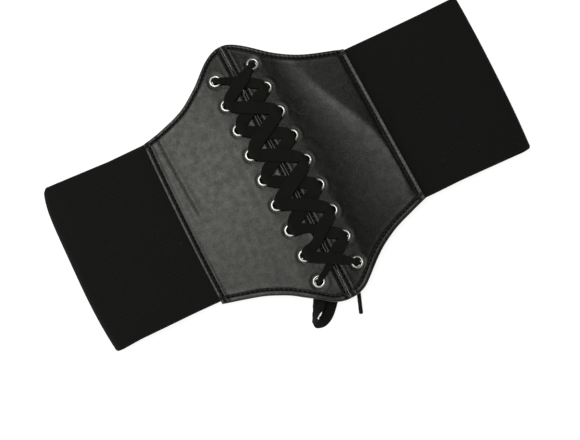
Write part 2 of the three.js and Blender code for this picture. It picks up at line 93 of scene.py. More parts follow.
BAND_HALF = BAND_HEIGHT / 2
PANEL_HALF = FRONT_WIDTH / 2
PEAK_HALF = FRONT_PEAK_HEIGHT / 2
SEAM_HALF = FRONT_SEAM_HEIGHT / 2
SLIT_HALF = MIDDLE_SLIT / 2
LAP_START = PANEL_HALF - BAND_LAP
BAND_SEAM_MID = BAND_THICK + SEAM_CLEAR + BAND_THICK / 2
BAND_FOLD_MID = BAND_THICK + FOLD_CLEAR + BAND_THICK / 2
FOLD_RADIUS = (FOLD_CLEAR + BAND_THICK) / 2
SEAM_TOP = BAND_SEAM_MID + BAND_THICK / 2 + SEAT_GAP + LEATHER_THICK


# Small tools

def smooth(t):
    """A share kept between 0 and 1 and eased at both ends."""
    t = np.clip(t, 0.0, 1.0)
    return t * t * (3 - 2 * t)


def mix(a, b, t):
    """The value a share t of the way from a to b."""
    return a + (b - a) * t


def bell(d, centre, width):
    """A smooth hump, 1 at its centre."""
    return np.exp(-(((d - centre) / width) ** 2))


def unit(v):
    """Vectors made 1 long."""
    v = np.asarray(v, float)
    return v / np.maximum(np.linalg.norm(v, axis=-1, keepdims=True), 1e-12)


def gone_along(line):
    """Length along a line from its start to each of its points."""
    return np.concatenate([[0], np.cumsum(np.linalg.norm(np.diff(line, axis=0), axis=1))])


def tube_faces(rings, sides, start=0):
    """Faces between rings of points that follow each other."""
    faces = []
    for i in range(rings - 1):
        for k in range(sides):
            a, b = start + i * sides + k, start + i * sides + (k + 1) % sides
            faces.append((a, b, b + sides, a + sides))
    return faces


def laid(points_mm):
    """Points of the front, in millimetres from its middle seam, to metres from the belt's origin."""
    return (np.asarray(points_mm, float) + np.array([FRONT_OFFSET, 0.0, 0.0])) * MM


def make_piece(name, verts_mm, faces, material, smooth_shaded=True, uv=None):
    """A mesh object from millimetre points; uv gives one pair for each vertex."""
    mesh = bpy.data.meshes.new(name)
    mesh.from_pydata(laid(verts_mm).tolist(), [], [list(map(int, f)) for f in faces])
    mesh.update()
    if smooth_shaded:
        mesh.polygons.foreach_set("use_smooth", [True] * len(mesh.polygons))
    if uv is not None:
        layer = mesh.uv_layers.new(name="run")
        corner = np.zeros(len(mesh.loops), np.int32)
        mesh.loops.foreach_get("vertex_index", corner)
        layer.data.foreach_set("uv", np.asarray(uv, float)[corner].ravel())
    mesh.materials.append(material)
    piece = bpy.data.objects.new(name, mesh)
    bpy.context.scene.collection.objects.link(piece)
    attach(piece, "root")
    return piece


# Camera, fitted to the photograph. Turns are in degrees, places in metres, the focal length in pixels
CAMERA_TURNS = (-10.664, 0.4325, 27.045)
CAMERA_PLACE = (-0.003457, 0.03359, -0.541188)
FITTED_LEVEL = 0.0105
PHOTO_WIDTH = 580
FOCAL_LENGTH = 800
SENSOR_WIDTH = 36.0


def place_camera():
    """Looks down on the laid belt, turned as the photograph is."""
    tilt, roll, spin = (math.radians(degrees) for degrees in CAMERA_TURNS)
    turn = Matrix.Rotation(tilt, 4, "X") @ Matrix.Rotation(roll, 4, "Y") @ Matrix.Rotation(spin, 4, "Z")
    place = Matrix.Translation(CAMERA_PLACE) @ turn
    place = place @ Matrix.Translation((-FRONT_OFFSET * MM, 0, -FITTED_LEVEL))
    data = bpy.data.cameras.new("camera")
    data.sensor_fit = "HORIZONTAL"
    data.sensor_width = SENSOR_WIDTH
    data.lens = SENSOR_WIDTH * FOCAL_LENGTH / PHOTO_WIDTH
    data.clip_start, data.clip_end = 0.02, 20
    camera = bpy.data.objects.new("camera", data)
    camera.matrix_world = place.inverted()
    bpy.context.scene.collection.objects.link(camera)
    bpy.context.scene.camera = camera


place_camera()


# Node groups and materials

class Nodes:
    """Short ways to add and join shader nodes in one tree."""

    def __init__(self, tree):
        self.tree = tree
        self.links = tree.links

    def add(self, kind, **values):
        """A node with some settings and inputs set; an underscore stands for a space."""
        node = self.tree.nodes.new(kind)
        for key, value in values.items():
            if key in node.bl_rna.properties:
                setattr(node, key, value)
            else:
                node.inputs[key.replace("_", " ")].default_value = value
        return node

    def join(self, source, target):
        """A link from an output to an input."""
        self.links.new(source, target)

    def feed(self, value, socket):
        """An input's constant, or a link to it from another node's output."""
        if isinstance(value, (int, float, tuple)):
            socket.default_value = value
        else:
            self.links.new(value, socket)

    def place(self):
        """Where a point lies on the piece, in metres."""
        return self.add("ShaderNodeTexCoord").outputs["Object"]

    def axes(self, vector):
        """The three axes of a vector output."""
        parts = self.tree.nodes.new("ShaderNodeSeparateXYZ")
        self.join(vector, parts.inputs[0])
        return parts.outputs

    def noise(self, place, **values):
        """A noise texture read at a place."""
        node = self.add("ShaderNodeTexNoise", **values)
        self.join(place, node.inputs["Vector"])
        return node

    def maths(self, operation, a, b=None, clamp=False):
        """One sum on constants or outputs."""
        node = self.tree.nodes.new("ShaderNodeMath")
        node.operation = operation
        node.use_clamp = clamp
        self.feed(a, node.inputs[0])
        if b is not None:
            self.feed(b, node.inputs[1])
        return node.outputs[0]

    def ridges(self, source):
        """One rounded ridge for each whole step of an output."""
        return self.maths("ABSOLUTE", self.maths("SINE", self.maths("MULTIPLY", source, math.pi)))

    def ramp(self, source, low, high, out_low=0.0, out_high=1.0):
        """A range of an output stretched to another range, and kept inside it."""
        node = self.tree.nodes.new("ShaderNodeMapRange")
        node.clamp = True
        self.links.new(source, node.inputs["Value"])
        for name, value in (("From Min", low), ("From Max", high), ("To Min", out_low), ("To Max", out_high)):
            node.inputs[name].default_value = value
        return node.outputs["Result"]

    def blend(self, share, first, second):
        """A colour between two, by a share."""
        node = self.tree.nodes.new("ShaderNodeMix")
        node.data_type = "RGBA"
        for value, socket in ((share, node.inputs[0]), (first, node.inputs[6]), (second, node.inputs[7])):
            self.feed(value, socket)
        return node.outputs[2]


def group_with(name, inputs, outputs):
    """A shader node group with named inputs and outputs."""
    tree = bpy.data.node_groups.new(name, "ShaderNodeTree")
    for word, kind, value in inputs:
        socket = tree.interface.new_socket(word, in_out="INPUT", socket_type=kind)
        socket.default_value = value
    for word, kind in outputs:
        tree.interface.new_socket(word, in_out="OUTPUT", socket_type=kind)
    nodes = Nodes(tree)
    return tree, nodes, tree.nodes.new("NodeGroupInput"), tree.nodes.new("NodeGroupOutput")


FLOAT = "NodeSocketFloat"


def leather_grain_group():
    """Pebbled grain: cells with creases between them, larger soft mottling and fine pores."""
    tree, n, into, out = group_with(
        "leather_grain",
        [("Cell Size", FLOAT, 900.0), ("Mottle Size", FLOAT, 140.0), ("Crease", FLOAT, 1.0)],
        [("Height", FLOAT), ("Mottle", FLOAT), ("Pores", FLOAT)],
    )
    place = n.place()
    bend = n.noise(place, Scale=420.0, Detail=2.0)
    shift = n.add("ShaderNodeVectorMath", operation="MULTIPLY_ADD")
    n.join(bend.outputs["Color"], shift.inputs[0])
    shift.inputs[1].default_value = (0.0007, 0.0007, 0.0007)
    n.join(place, shift.inputs[2])
    cells = n.add("ShaderNodeTexVoronoi", feature="DISTANCE_TO_EDGE")
    n.join(shift.outputs[0], cells.inputs["Vector"])
    n.join(into.outputs["Cell Size"], cells.inputs["Scale"])
    pebble = n.maths("POWER", n.ramp(cells.outputs["Distance"], 0.0, 0.22), 0.7)
    fine = n.noise(place, Scale=2600.0, Detail=3.0, Roughness=0.6)
    swell = n.noise(place, Detail=3.0, Roughness=0.55)
    n.join(into.outputs["Mottle Size"], swell.inputs["Scale"])
    creased = n.maths("MULTIPLY", pebble, into.outputs["Crease"])
    height = n.maths("ADD", creased, n.maths("MULTIPLY", fine.outputs["Fac"], 0.35))
    height = n.maths("ADD", height, n.maths("MULTIPLY", swell.outputs["Fac"], 1.6))
    n.join(height, out.inputs["Height"])
    n.join(n.ramp(swell.outputs["Fac"], 0.3, 0.7), out.inputs["Mottle"])
    n.join(n.ramp(fine.outputs["Fac"], 0.35, 0.65), out.inputs["Pores"])
    return tree


def edge_wear_group():
    """Rubbed edges and raised rims, from how convex the surface is."""
    tree, n, into, out = group_with(
        "edge_wear",
        [("Amount", FLOAT, 0.5), ("Breakup Size", FLOAT, 300.0)],
        [("Mask", FLOAT)],
    )
    geometry = n.add("ShaderNodeNewGeometry")
    place = n.place()
    noise = n.noise(place, Detail=3.0)
    n.join(into.outputs["Breakup Size"], noise.inputs["Scale"])
    convex = n.ramp(geometry.outputs["Pointiness"], 0.51, 0.6)
    patchy = n.maths("MULTIPLY", convex, n.ramp(noise.outputs["Fac"], 0.35, 0.6))
    n.join(n.maths("MULTIPLY", patchy, into.outputs["Amount"], clamp=True), out.inputs["Mask"])
    return tree


def dust_group():
    """Sparse lint and dust specks that settle on cloth and leather."""
    tree, n, into, out = group_with(
        "dust_specks",
        [("Speck Size", FLOAT, 350.0), ("Share", FLOAT, 0.04)],
        [("Mask", FLOAT)],
    )
    place = n.place()
    cells = n.add("ShaderNodeTexVoronoi", feature="F1")
    n.join(place, cells.inputs["Vector"])
    n.join(into.outputs["Speck Size"], cells.inputs["Scale"])
    near = n.ramp(cells.outputs["Distance"], 0.1, 0.16, 1.0, 0.0)
    pick = tree.nodes.new("ShaderNodeSeparateColor")
    n.join(cells.outputs["Color"], pick.inputs[0])
    rare = n.maths("LESS_THAN", pick.outputs[0], into.outputs["Share"])
    n.join(n.maths("MULTIPLY", near, rare), out.inputs["Mask"])
    return tree


def weave_group():
    """Plain weave from two crossing sets of rounded yarns, with some yarns thicker than others."""
    tree, n, into, out = group_with(
        "woven_yarns",
        [("Across Count", FLOAT, 900.0), ("Along Count", FLOAT, 900.0), ("Slub", FLOAT, 0.3)],
        [("Height", FLOAT), ("Yarn Shade", FLOAT)],
    )
    place = n.place()
    noise = n.noise(place, Scale=260.0, Detail=2.0)
    axes = n.axes(place)
    wobble = n.maths("MULTIPLY", noise.outputs["Fac"], 0.0004)
    along = n.maths("MULTIPLY", n.maths("ADD", axes[0], wobble), into.outputs["Along Count"])
    across = n.maths("MULTIPLY", n.maths("ADD", axes[1], wobble), into.outputs["Across Count"])
    ribs, picks = n.ridges(across), n.ridges(along)
    turn = n.maths("SINE", n.maths("MULTIPLY", n.maths("FLOOR", across), math.pi * 0.5))
    over = n.maths("ABSOLUTE", n.maths("SINE", n.maths("ADD", n.maths("MULTIPLY", along, math.pi / 2), turn)))
    crossed = n.maths("MULTIPLY", n.maths("MULTIPLY", picks, over), 0.5)
    height = n.maths("ADD", n.maths("MULTIPLY", ribs, 0.8), crossed)
    slub = n.noise(place, Scale=700.0, Detail=1.0)
    height = n.maths("ADD", height, n.maths("MULTIPLY", slub.outputs["Fac"], into.outputs["Slub"]))
    n.join(height, out.inputs["Height"])
    n.join(n.ramp(height, 0.1, 1.4), out.inputs["Yarn Shade"])
    return tree


def braid_group():
    """Flat braid: chevrons either side of the lace's middle line, read from the run of the lace."""
    tree, n, into, out = group_with(
        "flat_braid",
        [("Pitch", FLOAT, 1.1), ("Lanes", FLOAT, 8.0)],
        [("Height", FLOAT), ("Yarn Shade", FLOAT)],
    )
    run = n.axes(n.add("ShaderNodeUVMap", uv_map="run").outputs[0])
    off_middle = n.maths("ABSOLUTE", run[0])
    lanes = n.maths("MULTIPLY", run[0], into.outputs["Lanes"])
    steps = n.maths("DIVIDE", run[1], into.outputs["Pitch"])
    chevron = n.maths("ADD", steps, n.maths("MULTIPLY", off_middle, 2.4))
    alternate = n.maths("MULTIPLY", n.maths("FLOOR", lanes), 0.5)
    lane, strand = n.ridges(lanes), n.ridges(n.maths("ADD", chevron, alternate))
    height = n.maths("MULTIPLY", n.maths("POWER", lane, 0.6), n.maths("POWER", strand, 0.7))
    fuzz = n.noise(n.place(), Scale=3000.0, Detail=2.0)
    height = n.maths("ADD", height, n.maths("MULTIPLY", fuzz.outputs["Fac"], 0.3))
    n.join(height, out.inputs["Height"])
    n.join(n.ramp(height, 0.1, 1.1), out.inputs["Yarn Shade"])
    return tree


GRAIN = leather_grain_group()
WEAR = edge_wear_group()
DUST = dust_group()
WEAVE = weave_group()
BRAID = braid_group()


def start_material(name):
    """A new material, its node tools and its shader."""
    material = bpy.data.materials.new(name)
    material.use_nodes = True
    tree = material.node_tree
    shader = tree.nodes["Principled BSDF"]
    return material, Nodes(tree), shader


def use_group(n, group, **values):
    """One of the node groups, with some of its inputs set."""
    node = n.tree.nodes.new("ShaderNodeGroup")
    node.node_tree = group
    for key, value in values.items():
        node.inputs[key.replace("_", " ")].default_value = value
    return node


def bump_into(n, shader, height, strength, distance):
    """Relief on a shader from a height, with its depth in metres."""
    bump = n.add("ShaderNodeBump", Strength=strength, Distance=distance)
    n.join(height, bump.inputs["Height"])
    n.join(bump.outputs[0], shader.inputs["Normal"])


def front_leather(name, base, mottled, rubbed, roughness):
    """Coated leather with a fine pebble, blotched gloss, and paler rubbed rims."""
    material, n, shader = start_material(name)
    grain = use_group(n, GRAIN, Cell_Size=1150.0, Mottle_Size=210.0, Crease=1.0)
    wear = use_group(n, WEAR, Amount=0.6, Breakup_Size=420.0)
    dust = use_group(n, DUST, Speck_Size=260.0, Share=0.03)
    colour = n.blend(grain.outputs["Mottle"], base, mottled)
    colour = n.blend(wear.outputs["Mask"], colour, rubbed)
    colour = n.blend(n.maths("MULTIPLY", dust.outputs["Mask"], 0.35), colour, (0.1, 0.1, 0.095, 1))
    n.join(colour, shader.inputs["Base Color"])
    rough = n.ramp(grain.outputs["Pores"], 0.0, 1.0, roughness - 0.04, roughness + 0.05)
    n.join(rough, shader.inputs["Roughness"])
    gloss = n.maths("MULTIPLY", grain.outputs["Mottle"], n.ramp(grain.outputs["Pores"], 0, 1, 0.7, 1.1))
    n.join(n.ramp(gloss, 0.1, 0.95, 0.24, 0.72), shader.inputs["Coat Weight"])
    shader.inputs["Coat Roughness"].default_value = 0.27
    shader.inputs["Coat IOR"].default_value = 1.45
    shader.inputs["Specular IOR Level"].default_value = 0.36
    bump_into(n, shader, grain.outputs["Height"], 0.3, 0.00012)
    return material


def elastic_cloth():
    """Dull woven elastic, with lighter yarns and a little lint."""
    material, n, shader = start_material("elastic_cloth")
    weave = use_group(n, WEAVE, Across_Count=830.0, Along_Count=620.0, Slub=0.4)
    dust = use_group(n, DUST, Speck_Size=190.0, Share=0.05)
    colour = n.blend(weave.outputs["Yarn Shade"], (0.0072, 0.0072, 0.0072, 1), (0.0162, 0.0162, 0.016, 1))
    colour = n.blend(n.maths("MULTIPLY", dust.outputs["Mask"], 0.25), colour, (0.06, 0.06, 0.058, 1))
    n.join(colour, shader.inputs["Base Color"])
    n.join(n.ramp(weave.outputs["Yarn Shade"], 0, 1, 0.95, 0.8), shader.inputs["Roughness"])
    shader.inputs["Specular IOR Level"].default_value = 0.1
    bump_into(n, shader, weave.outputs["Height"], 0.6, 0.00025)
    return material


def lace_cloth():
    """Dull flat braid."""
    material, n, shader = start_material("lace_cloth")
    braid = use_group(n, BRAID, Pitch=1.0, Lanes=5.0)
    colour = n.blend(braid.outputs["Yarn Shade"], (0.0052, 0.0052, 0.0044, 1), (0.0165, 0.0165, 0.0145, 1))
    n.join(colour, shader.inputs["Base Color"])
    n.join(n.ramp(braid.outputs["Yarn Shade"], 0, 1, 0.95, 0.75), shader.inputs["Roughness"])
    shader.inputs["Specular IOR Level"].default_value = 0.12
    bump_into(n, shader, braid.outputs["Height"], 0.7, 0.0002)
    return material


def stitch_thread():
    """Twisted black thread."""
    material, n, shader = start_material("stitch_thread")
    place = n.place()
    twist = n.add("ShaderNodeTexWave", bands_direction="DIAGONAL", Scale=900.0, Distortion=2.0)
    n.join(place, twist.inputs["Vector"])
    colour = n.blend(twist.outputs["Fac"], (0.002, 0.002, 0.002, 1), (0.005, 0.005, 0.0047, 1))
    n.join(colour, shader.inputs["Base Color"])
    n.join(n.ramp(twist.outputs["Fac"], 0, 1, 0.85, 0.65), shader.inputs["Roughness"])
    shader.inputs["Specular IOR Level"].default_value = 0.15
    bump_into(n, shader, twist.outputs["Fac"], 0.4, 0.0001)
    return material


def polished_eyelet():
    """Bright plated metal, filmed over, with painted shade colouring it dark inside its bore."""
    material, n, shader = start_material("polished_eyelet")
    wear = use_group(n, WEAR, Amount=0.5, Breakup_Size=900.0)
    place = n.place()
    film = n.noise(place, Scale=700.0, Detail=4.0)
    colour = n.blend(n.ramp(film.outputs["Fac"], 0.35, 0.7), (0.86, 0.85, 0.82, 1), (0.7, 0.69, 0.65, 1))
    colour = n.blend(wear.outputs["Mask"], colour, (0.95, 0.94, 0.92, 1))
    inside = n.axes(n.add("ShaderNodeUVMap", uv_map="run").outputs[0])[0]
    # Painted shade: inside the bore the metal is coloured near black, standing in for the shadow there.
    painted_bore_shade = n.maths("MULTIPLY", inside, n.ramp(film.outputs["Fac"], 0.2, 0.5, 0.9, 1.0))
    colour = n.blend(painted_bore_shade, colour, (0.012, 0.012, 0.011, 1))
    n.join(colour, shader.inputs["Base Color"])
    shine = n.ramp(film.outputs["Fac"], 0.3, 0.7, 0.2, 0.34)
    n.join(n.maths("ADD", shine, n.maths("MULTIPLY", inside, 0.35)), shader.inputs["Roughness"])
    shader.inputs["Metallic"].default_value = 1.0
    bump_into(n, shader, film.outputs["Fac"], 0.1, 0.00005)
    return material


def aglet_film():
    """Black shrunk film with a low sheen."""
    material, n, shader = start_material("aglet_film")
    place = n.place()
    wrap = n.noise(place, Scale=500.0, Detail=3.0)
    colour = n.blend(wrap.outputs["Fac"], (0.002, 0.002, 0.002, 1), (0.005, 0.005, 0.0045, 1))
    n.join(colour, shader.inputs["Base Color"])
    n.join(n.ramp(wrap.outputs["Fac"], 0.3, 0.7, 0.4, 0.58), shader.inputs["Roughness"])
    shader.inputs["Specular IOR Level"].default_value = 0.18
    bump_into(n, shader, wrap.outputs["Fac"], 0.15, 0.0001)
    return material


LEATHER = front_leather(
    "front_leather",
    base=(0.0035, 0.0037, 0.0028, 1),
    mottled=(0.0065, 0.0068, 0.0052, 1),
    rubbed=(0.03, 0.03, 0.027, 1),
    roughness=0.26,
)
ELASTIC = elastic_cloth()
LACE = lace_cloth()
THREAD = stitch_thread()
NICKEL = polished_eyelet()
FILM = aglet_film()


# Shape of the leather front

def edge_y(x):
    """Height of the bell's even edge, at distances from the middle seam."""
    across = np.minimum(1, np.abs(x) / PANEL_HALF)
    reach = (np.hypot(across, PEAK_ROUND) - PEAK_ROUND) / (math.hypot(1, PEAK_ROUND) - PEAK_ROUND)
    share = (1 - FLANK_STRAIGHT) * (1 - reach) ** FLANK_HOLLOW + FLANK_STRAIGHT * (1 - reach)
    return SEAM_HALF + (PEAK_HALF - SEAM_HALF) * share


# How far each hem lies outside its even curve, from the middle seam to the side seam, as laid
HEM_LAY = {
    (-1, 1): (0.5, 1.3, 0.2, -0.6, -0.3, 0.0),
    (1, 1): (0.5, 0.5, 0.1, -0.1, 0.0, -0.4),
    (-1, -1): (-2.5, -0.8, 0.6, 1.5, 1.9, 1.9),
    (1, -1): (-2.5, -0.3, -0.3, 0.1, 0.4, 0.1),
}


def hem_y(side, end, x):
    """Height of one hem of one half as it lies, at distances from the middle seam."""
    at = np.clip(np.abs(x) / PANEL_HALF, 0, 1) * 5
    k = np.minimum(at.astype(int), 4)
    lay = np.array(HEM_LAY[(side, end)])
    return end * (edge_y(x) + mix(lay[k], lay[k + 1], smooth(at - k)))


# Ends of the soft slanting ridge, as shares of the half width and of the half height
CREASE_TOP = (0.61, 0.74)
CREASE_FOOT = (0.87, -0.49)


def crease(x, y):
    """Rise of the soft slanting ridge down the right half."""
    ax, ay = CREASE_TOP[0] * PANEL_HALF, CREASE_TOP[1] * PEAK_HALF
    bx, by = CREASE_FOOT[0] * PANEL_HALF, CREASE_FOOT[1] * PEAK_HALF
    long = math.hypot(bx - ax, by - ay)
    off = ((x - ax) * (by - ay) - (y - ay) * (bx - ax)) / long
    inside = smooth((x / PANEL_HALF - 0.3) / 0.25) * smooth((0.99 - x / PANEL_HALF) / 0.14)
    return CREASE_RISE * np.exp(-((off / CREASE_HALF_WIDTH) ** 2)) * inside


def crown(x):
    """Rise of the front over its side seams."""
    return CROWN_RISE * (1 - smooth((np.abs(x) / PANEL_HALF - 0.22) / 0.58))


def leather_base(x, y):
    """Top of the leather as the solids have it, before hems and soft dents."""
    overhang = np.maximum(0, np.abs(y) - BAND_HALF) / (PEAK_HALF - BAND_HALF)
    return SEAM_TOP + crown(x) - PEAK_SAG * overhang ** 2 + crease(x, y)


# Line along which the loose right half stands up, and how steeply the leather climbs to it
RIDGE_Y = (-98, -70, -50, -35, -20, 0, 15, 30, 44, 60, 80, 98)
RIDGE_X = (54, 62, 67, 69, 68.5, 64.5, 58, 51, 45, 40, 34, 28)
RIDGE_STEEP = (0.2, 0.35, 0.85, 1, 1, 1, 1, 0.95, 0.8, 0.5, 0.2, 0)
STEEPEST_CLIMB = 0.125
STEEPEST_FALL = -0.12
FALL_BY_SEAM = -0.035
FALL_BY_EYELETS = -0.1
EYELET_STRIP = 17.5
CLIMB_START = 27.0


def right_lay_table():
    """Height of the loose right half against its crown, over a grid, from how its slope changes."""
    xs, ys = np.linspace(0, PANEL_HALF, 305), np.linspace(-100, 100, 101)
    heights = []
    for y in ys:
        ridge, steep = np.interp(y, RIDGE_Y, RIDGE_X), np.interp(y, RIDGE_Y, RIDGE_STEEP)
        climb = np.clip((xs - CLIMB_START) / (ridge - CLIMB_START), 0, 1)
        beyond = smooth((xs - EYELET_STRIP) / 5.0)
        slope = mix(FALL_BY_EYELETS, STEEPEST_CLIMB * steep, climb ** 1.05) * beyond
        slope = slope + FALL_BY_SEAM * smooth((xs - 1.5) / 4.0) * (1 - beyond)
        before = np.where(xs <= ridge, slope, 0.0)
        top = float(np.sum(before) * (xs[1] - xs[0]))
        fall = max(STEEPEST_FALL, (-CROWN_RISE + 0.6 - top) / max(1.0, PANEL_HALF - 3.0 - ridge - 1.5))
        past = smooth((xs - ridge) / 4.5)
        slope = np.where(xs > ridge, mix(STEEPEST_CLIMB * steep, fall, past), slope)
        heights.append(np.cumsum(slope) * (xs[1] - xs[0]))
    return xs, ys, np.array(heights)


RIGHT_LAY = right_lay_table()


def read_table(table, x, y):
    """Heights at points, read between the places of a grid."""
    xs, ys, heights = table
    i = np.clip((x - xs[0]) / (xs[1] - xs[0]), 0, len(xs) - 1.001)
    j = np.clip((y - ys[0]) / (ys[1] - ys[0]), 0, len(ys) - 1.001)
    i0, j0 = i.astype(int), j.astype(int)
    low = mix(heights[j0, i0], heights[j0, i0 + 1], i - i0)
    high = mix(heights[j0 + 1, i0], heights[j0 + 1, i0 + 1], i - i0)
    return mix(low, high, smooth(j - j0))


def right_lay(x, y):
    """How far the right half lies from the even crown and ridge of the solids."""
    lay = CROWN_RISE + read_table(RIGHT_LAY, np.abs(x), y) - crown(x) - crease(x, y)
    return np.where(x > 0, lay, 0.0)


def solid_top(x, y):
    """Top of the leather where the eyelets and the lace sit."""
    x, y = np.asarray(x, float), np.asarray(y, float)
    return leather_base(x, y) + right_lay(x, y)


def eyelet_place(side, row):
    """Middle of one eyelet, and the leather's top and underside there. Row 0 is the highest."""
    from_middle = 1 - (2 * row) / (EYELET_ROWS - 1)
    x = side * (EYELET_HALF_SPREAD + EYELET_BOW * (1 - from_middle ** 2))
    y = EYELET_SPAN / 2 * from_middle
    top = float(solid_top(x, y))
    return {"x": x, "y": y, "top": top, "under": top - LEATHER_THICK}


def square_to_leather(points, place):
    """Points round an eyelet's middle, moved to its place and turned square to the leather."""
    x, y, step = place["x"], place["y"], 0.5
    slope_x = float(solid_top(x + step, y) - solid_top(x - step, y)) / (2 * step)
    slope_y = float(solid_top(x, y + step) - solid_top(x, y - step)) / (2 * step)
    up = unit([-slope_x, -slope_y, 1])
    side = unit(np.cross([0, 1, 0], up))
    fore = np.cross(up, side)
    turned = points @ np.array([side, fore, up])
    return turned + np.array([x, y, place["top"]])


# Lace: its controls follow the solids, its surface is finer

FLAT = {"wide": LACE_WIDTH / 2, "deep": LACE_THICK / 2}
BUNCHED = {"wide": LACE_BUNCH_WIDE / 2, "deep": LACE_BUNCH_DEEP / 2}
BUNCH_OFFSET = 1.175
SPREAD = LACE_SPREAD / 2
PASS_UNDER = LACE_GAP + FLAT["deep"]
PASS_OVER = PASS_UNDER + LACE_THICK + LACE_GAP
BAR_HIGH = EYELET_BACK_RIM + LACE_GAP + FLAT["deep"]
BAR_LOW = BAR_HIGH + LACE_THICK + LACE_GAP
LAST_ROW = EYELET_ROWS - 1


def spread_share(share):
    """Half width of the lace on its way from bunched to spread."""
    return mix(BUNCHED["wide"], SPREAD, share)


def thin_share(share):
    """Half thickness of the lace on its way from bunched to flat."""
    return mix(BUNCHED["deep"], FLAT["deep"], share)


def control(at, across, wide, deep):
    """One section of a lace: its middle, the way across it, and its half width and half thickness."""
    return {"at": np.array(at, float), "across": np.array(across, float), "wide": wide, "deep": deep}


# Strands that lie off the even crossing. By starting side and row: share of the width, then drift in
# millimetres, each at the strand's start and at its end
LOOSE_STRANDS = {
    (-1, 0): ((0.82, 0.82), (1.2, 1.2)),
    (1, 1): ((1.05, 1.05), (-0.8, -0.8)),
    (1, 2): ((1.05, 1.05), (-0.8, -0.8)),
    (1, 3): ((1.05, 1.05), (-0.8, -0.8)),
    (-1, 3): ((1.0, 1.0), (1.2, 0.9)),
    (1, 4): ((1.1, 1.1), (0.8, 0.8)),
    (1, 5): ((1.12, 1.12), (-0.8, -0.8)),
    (-1, 5): ((0.95, 0.98), (1.8, 1.2)),
    (-1, 6): ((0.74, 0.95), (3.0, 0.8)),
    (1, 6): ((1.0, 0.76), (0.4, 2.6)),
    (-1, 7): ((0.88, 0.88), (0.4, 0.4)),
    (1, 7): ((1.0, 0.58), (0.0, 0.6)),
}


def front_strand(start, end, rise, lie):
    """Sections of a strand over the front, from one eyelet to the next row on the other side."""
    dx, dy = end["x"] - start["x"], end["y"] - start["y"]
    half = math.hypot(dx, dy) / 2
    hx, hy = dx / (2 * half), dy / (2 * half)
    across = np.array([-hy, hx, 0.0])
    over_rim = EYELET_RIM + LACE_GAP
    flange = EYELET_FLANGE / 2
    settled = mix(over_rim + FLAT["deep"], rise, 0.4)
    in_bore = np.array([0.0, math.copysign(1, hx), 0.0])

    def from_hole(hole, sign, width_share, drift):
        """Sections from one eyelet out towards the strand's middle."""
        opened = (0.1, 0.22, 0.34, 0.6) if hole["offset"] == 0 else (0.3, 0.55, 0.75, 0.97)
        sections = [
            (0.12 * flange, over_rim * 1.15, spread_share(opened[0]), thin_share(0.3), 0.0),
            (0.48 * flange, over_rim + thin_share(0.6), spread_share(opened[1]), thin_share(0.55), 0.1),
            (0.85 * flange, over_rim + thin_share(0.65), spread_share(opened[2]), thin_share(0.65), 0.3),
            (1.75 * flange, settled, spread_share(opened[3]), thin_share(0.88), 0.85),
            (half * 0.68, rise, SPREAD, FLAT["deep"], 1.0),
        ]
        made = []
        for reach, height, wide, deep, loose in sections:
            x = hole["x"] + sign * hx * reach + across[0] * drift * loose
            y = hole["y"] + hole["offset"] * (1 - reach / half) + sign * hy * reach
            y = y + across[1] * drift * loose
            turned = mix(in_bore, across, min(1, reach / flange))
            wide = wide * mix(1.0, width_share, loose)
            made.append(control((x, y, float(solid_top(x, y)) + height), turned, wide, deep))
        return made

    shares, drifts = lie
    ending = from_hole(end, -1, shares[1], drifts[1])
    return from_hole(start, 1, shares[0], drifts[0]) + ending[::-1]


def back_bar(start, end, low):
    """Sections of a straight bar behind the leather, between two eyelets."""
    sign = math.copysign(1, end["x"] - start["x"])
    across = (0, -sign, 0)
    flange = EYELET_BACK_FLANGE / 2
    turning = thin_share(0.72)
    sections = [
        (0.08 * flange, EYELET_BACK_RIM * 1.7, 1, spread_share(0), thin_share(0.25)),
        (0.5 * flange, low + turning - FLAT["deep"], 1.1, spread_share(0.06), turning),
        (flange, low, 1.7, spread_share(0.25), FLAT["deep"]),
        (1.9 * flange, low, 1.5, spread_share(0.7), FLAT["deep"]),
    ]

    def from_hole(hole, way):
        """Sections from one eyelet out towards the bar's middle."""
        made = []
        for reach, drop, apart, wide, deep in sections:
            at = (hole["x"] + way * sign * reach, hole["y"] + hole["offset"] * apart, hole["under"] - drop)
            made.append(control(at, across, wide, deep))
        return made

    return from_hole(start, 1) + from_hole(end, -1)[::-1]


def bore_control(hole, sign):
    """The bunched section inside an eyelet."""
    middle = (hole["top"] + hole["under"]) / 2
    at = (hole["x"], hole["y"] + hole["offset"], middle)
    wide, deep = (2.2, 2.3) if hole["offset"] == 0 else (BUNCHED["wide"], 2.1)
    return control(at, (0, sign, 0), wide, deep)


KNOT = np.array([1.0, eyelet_place(1, LAST_ROW)["y"] + KNOT_ABOVE_LAST_ROW, 0.0])
KNOT[2] = float(solid_top(KNOT[0], KNOT[1])) - LEATHER_THICK - EYELET_BACK_RIM - LACE_GAP - KNOT_SIZE[2] / 2


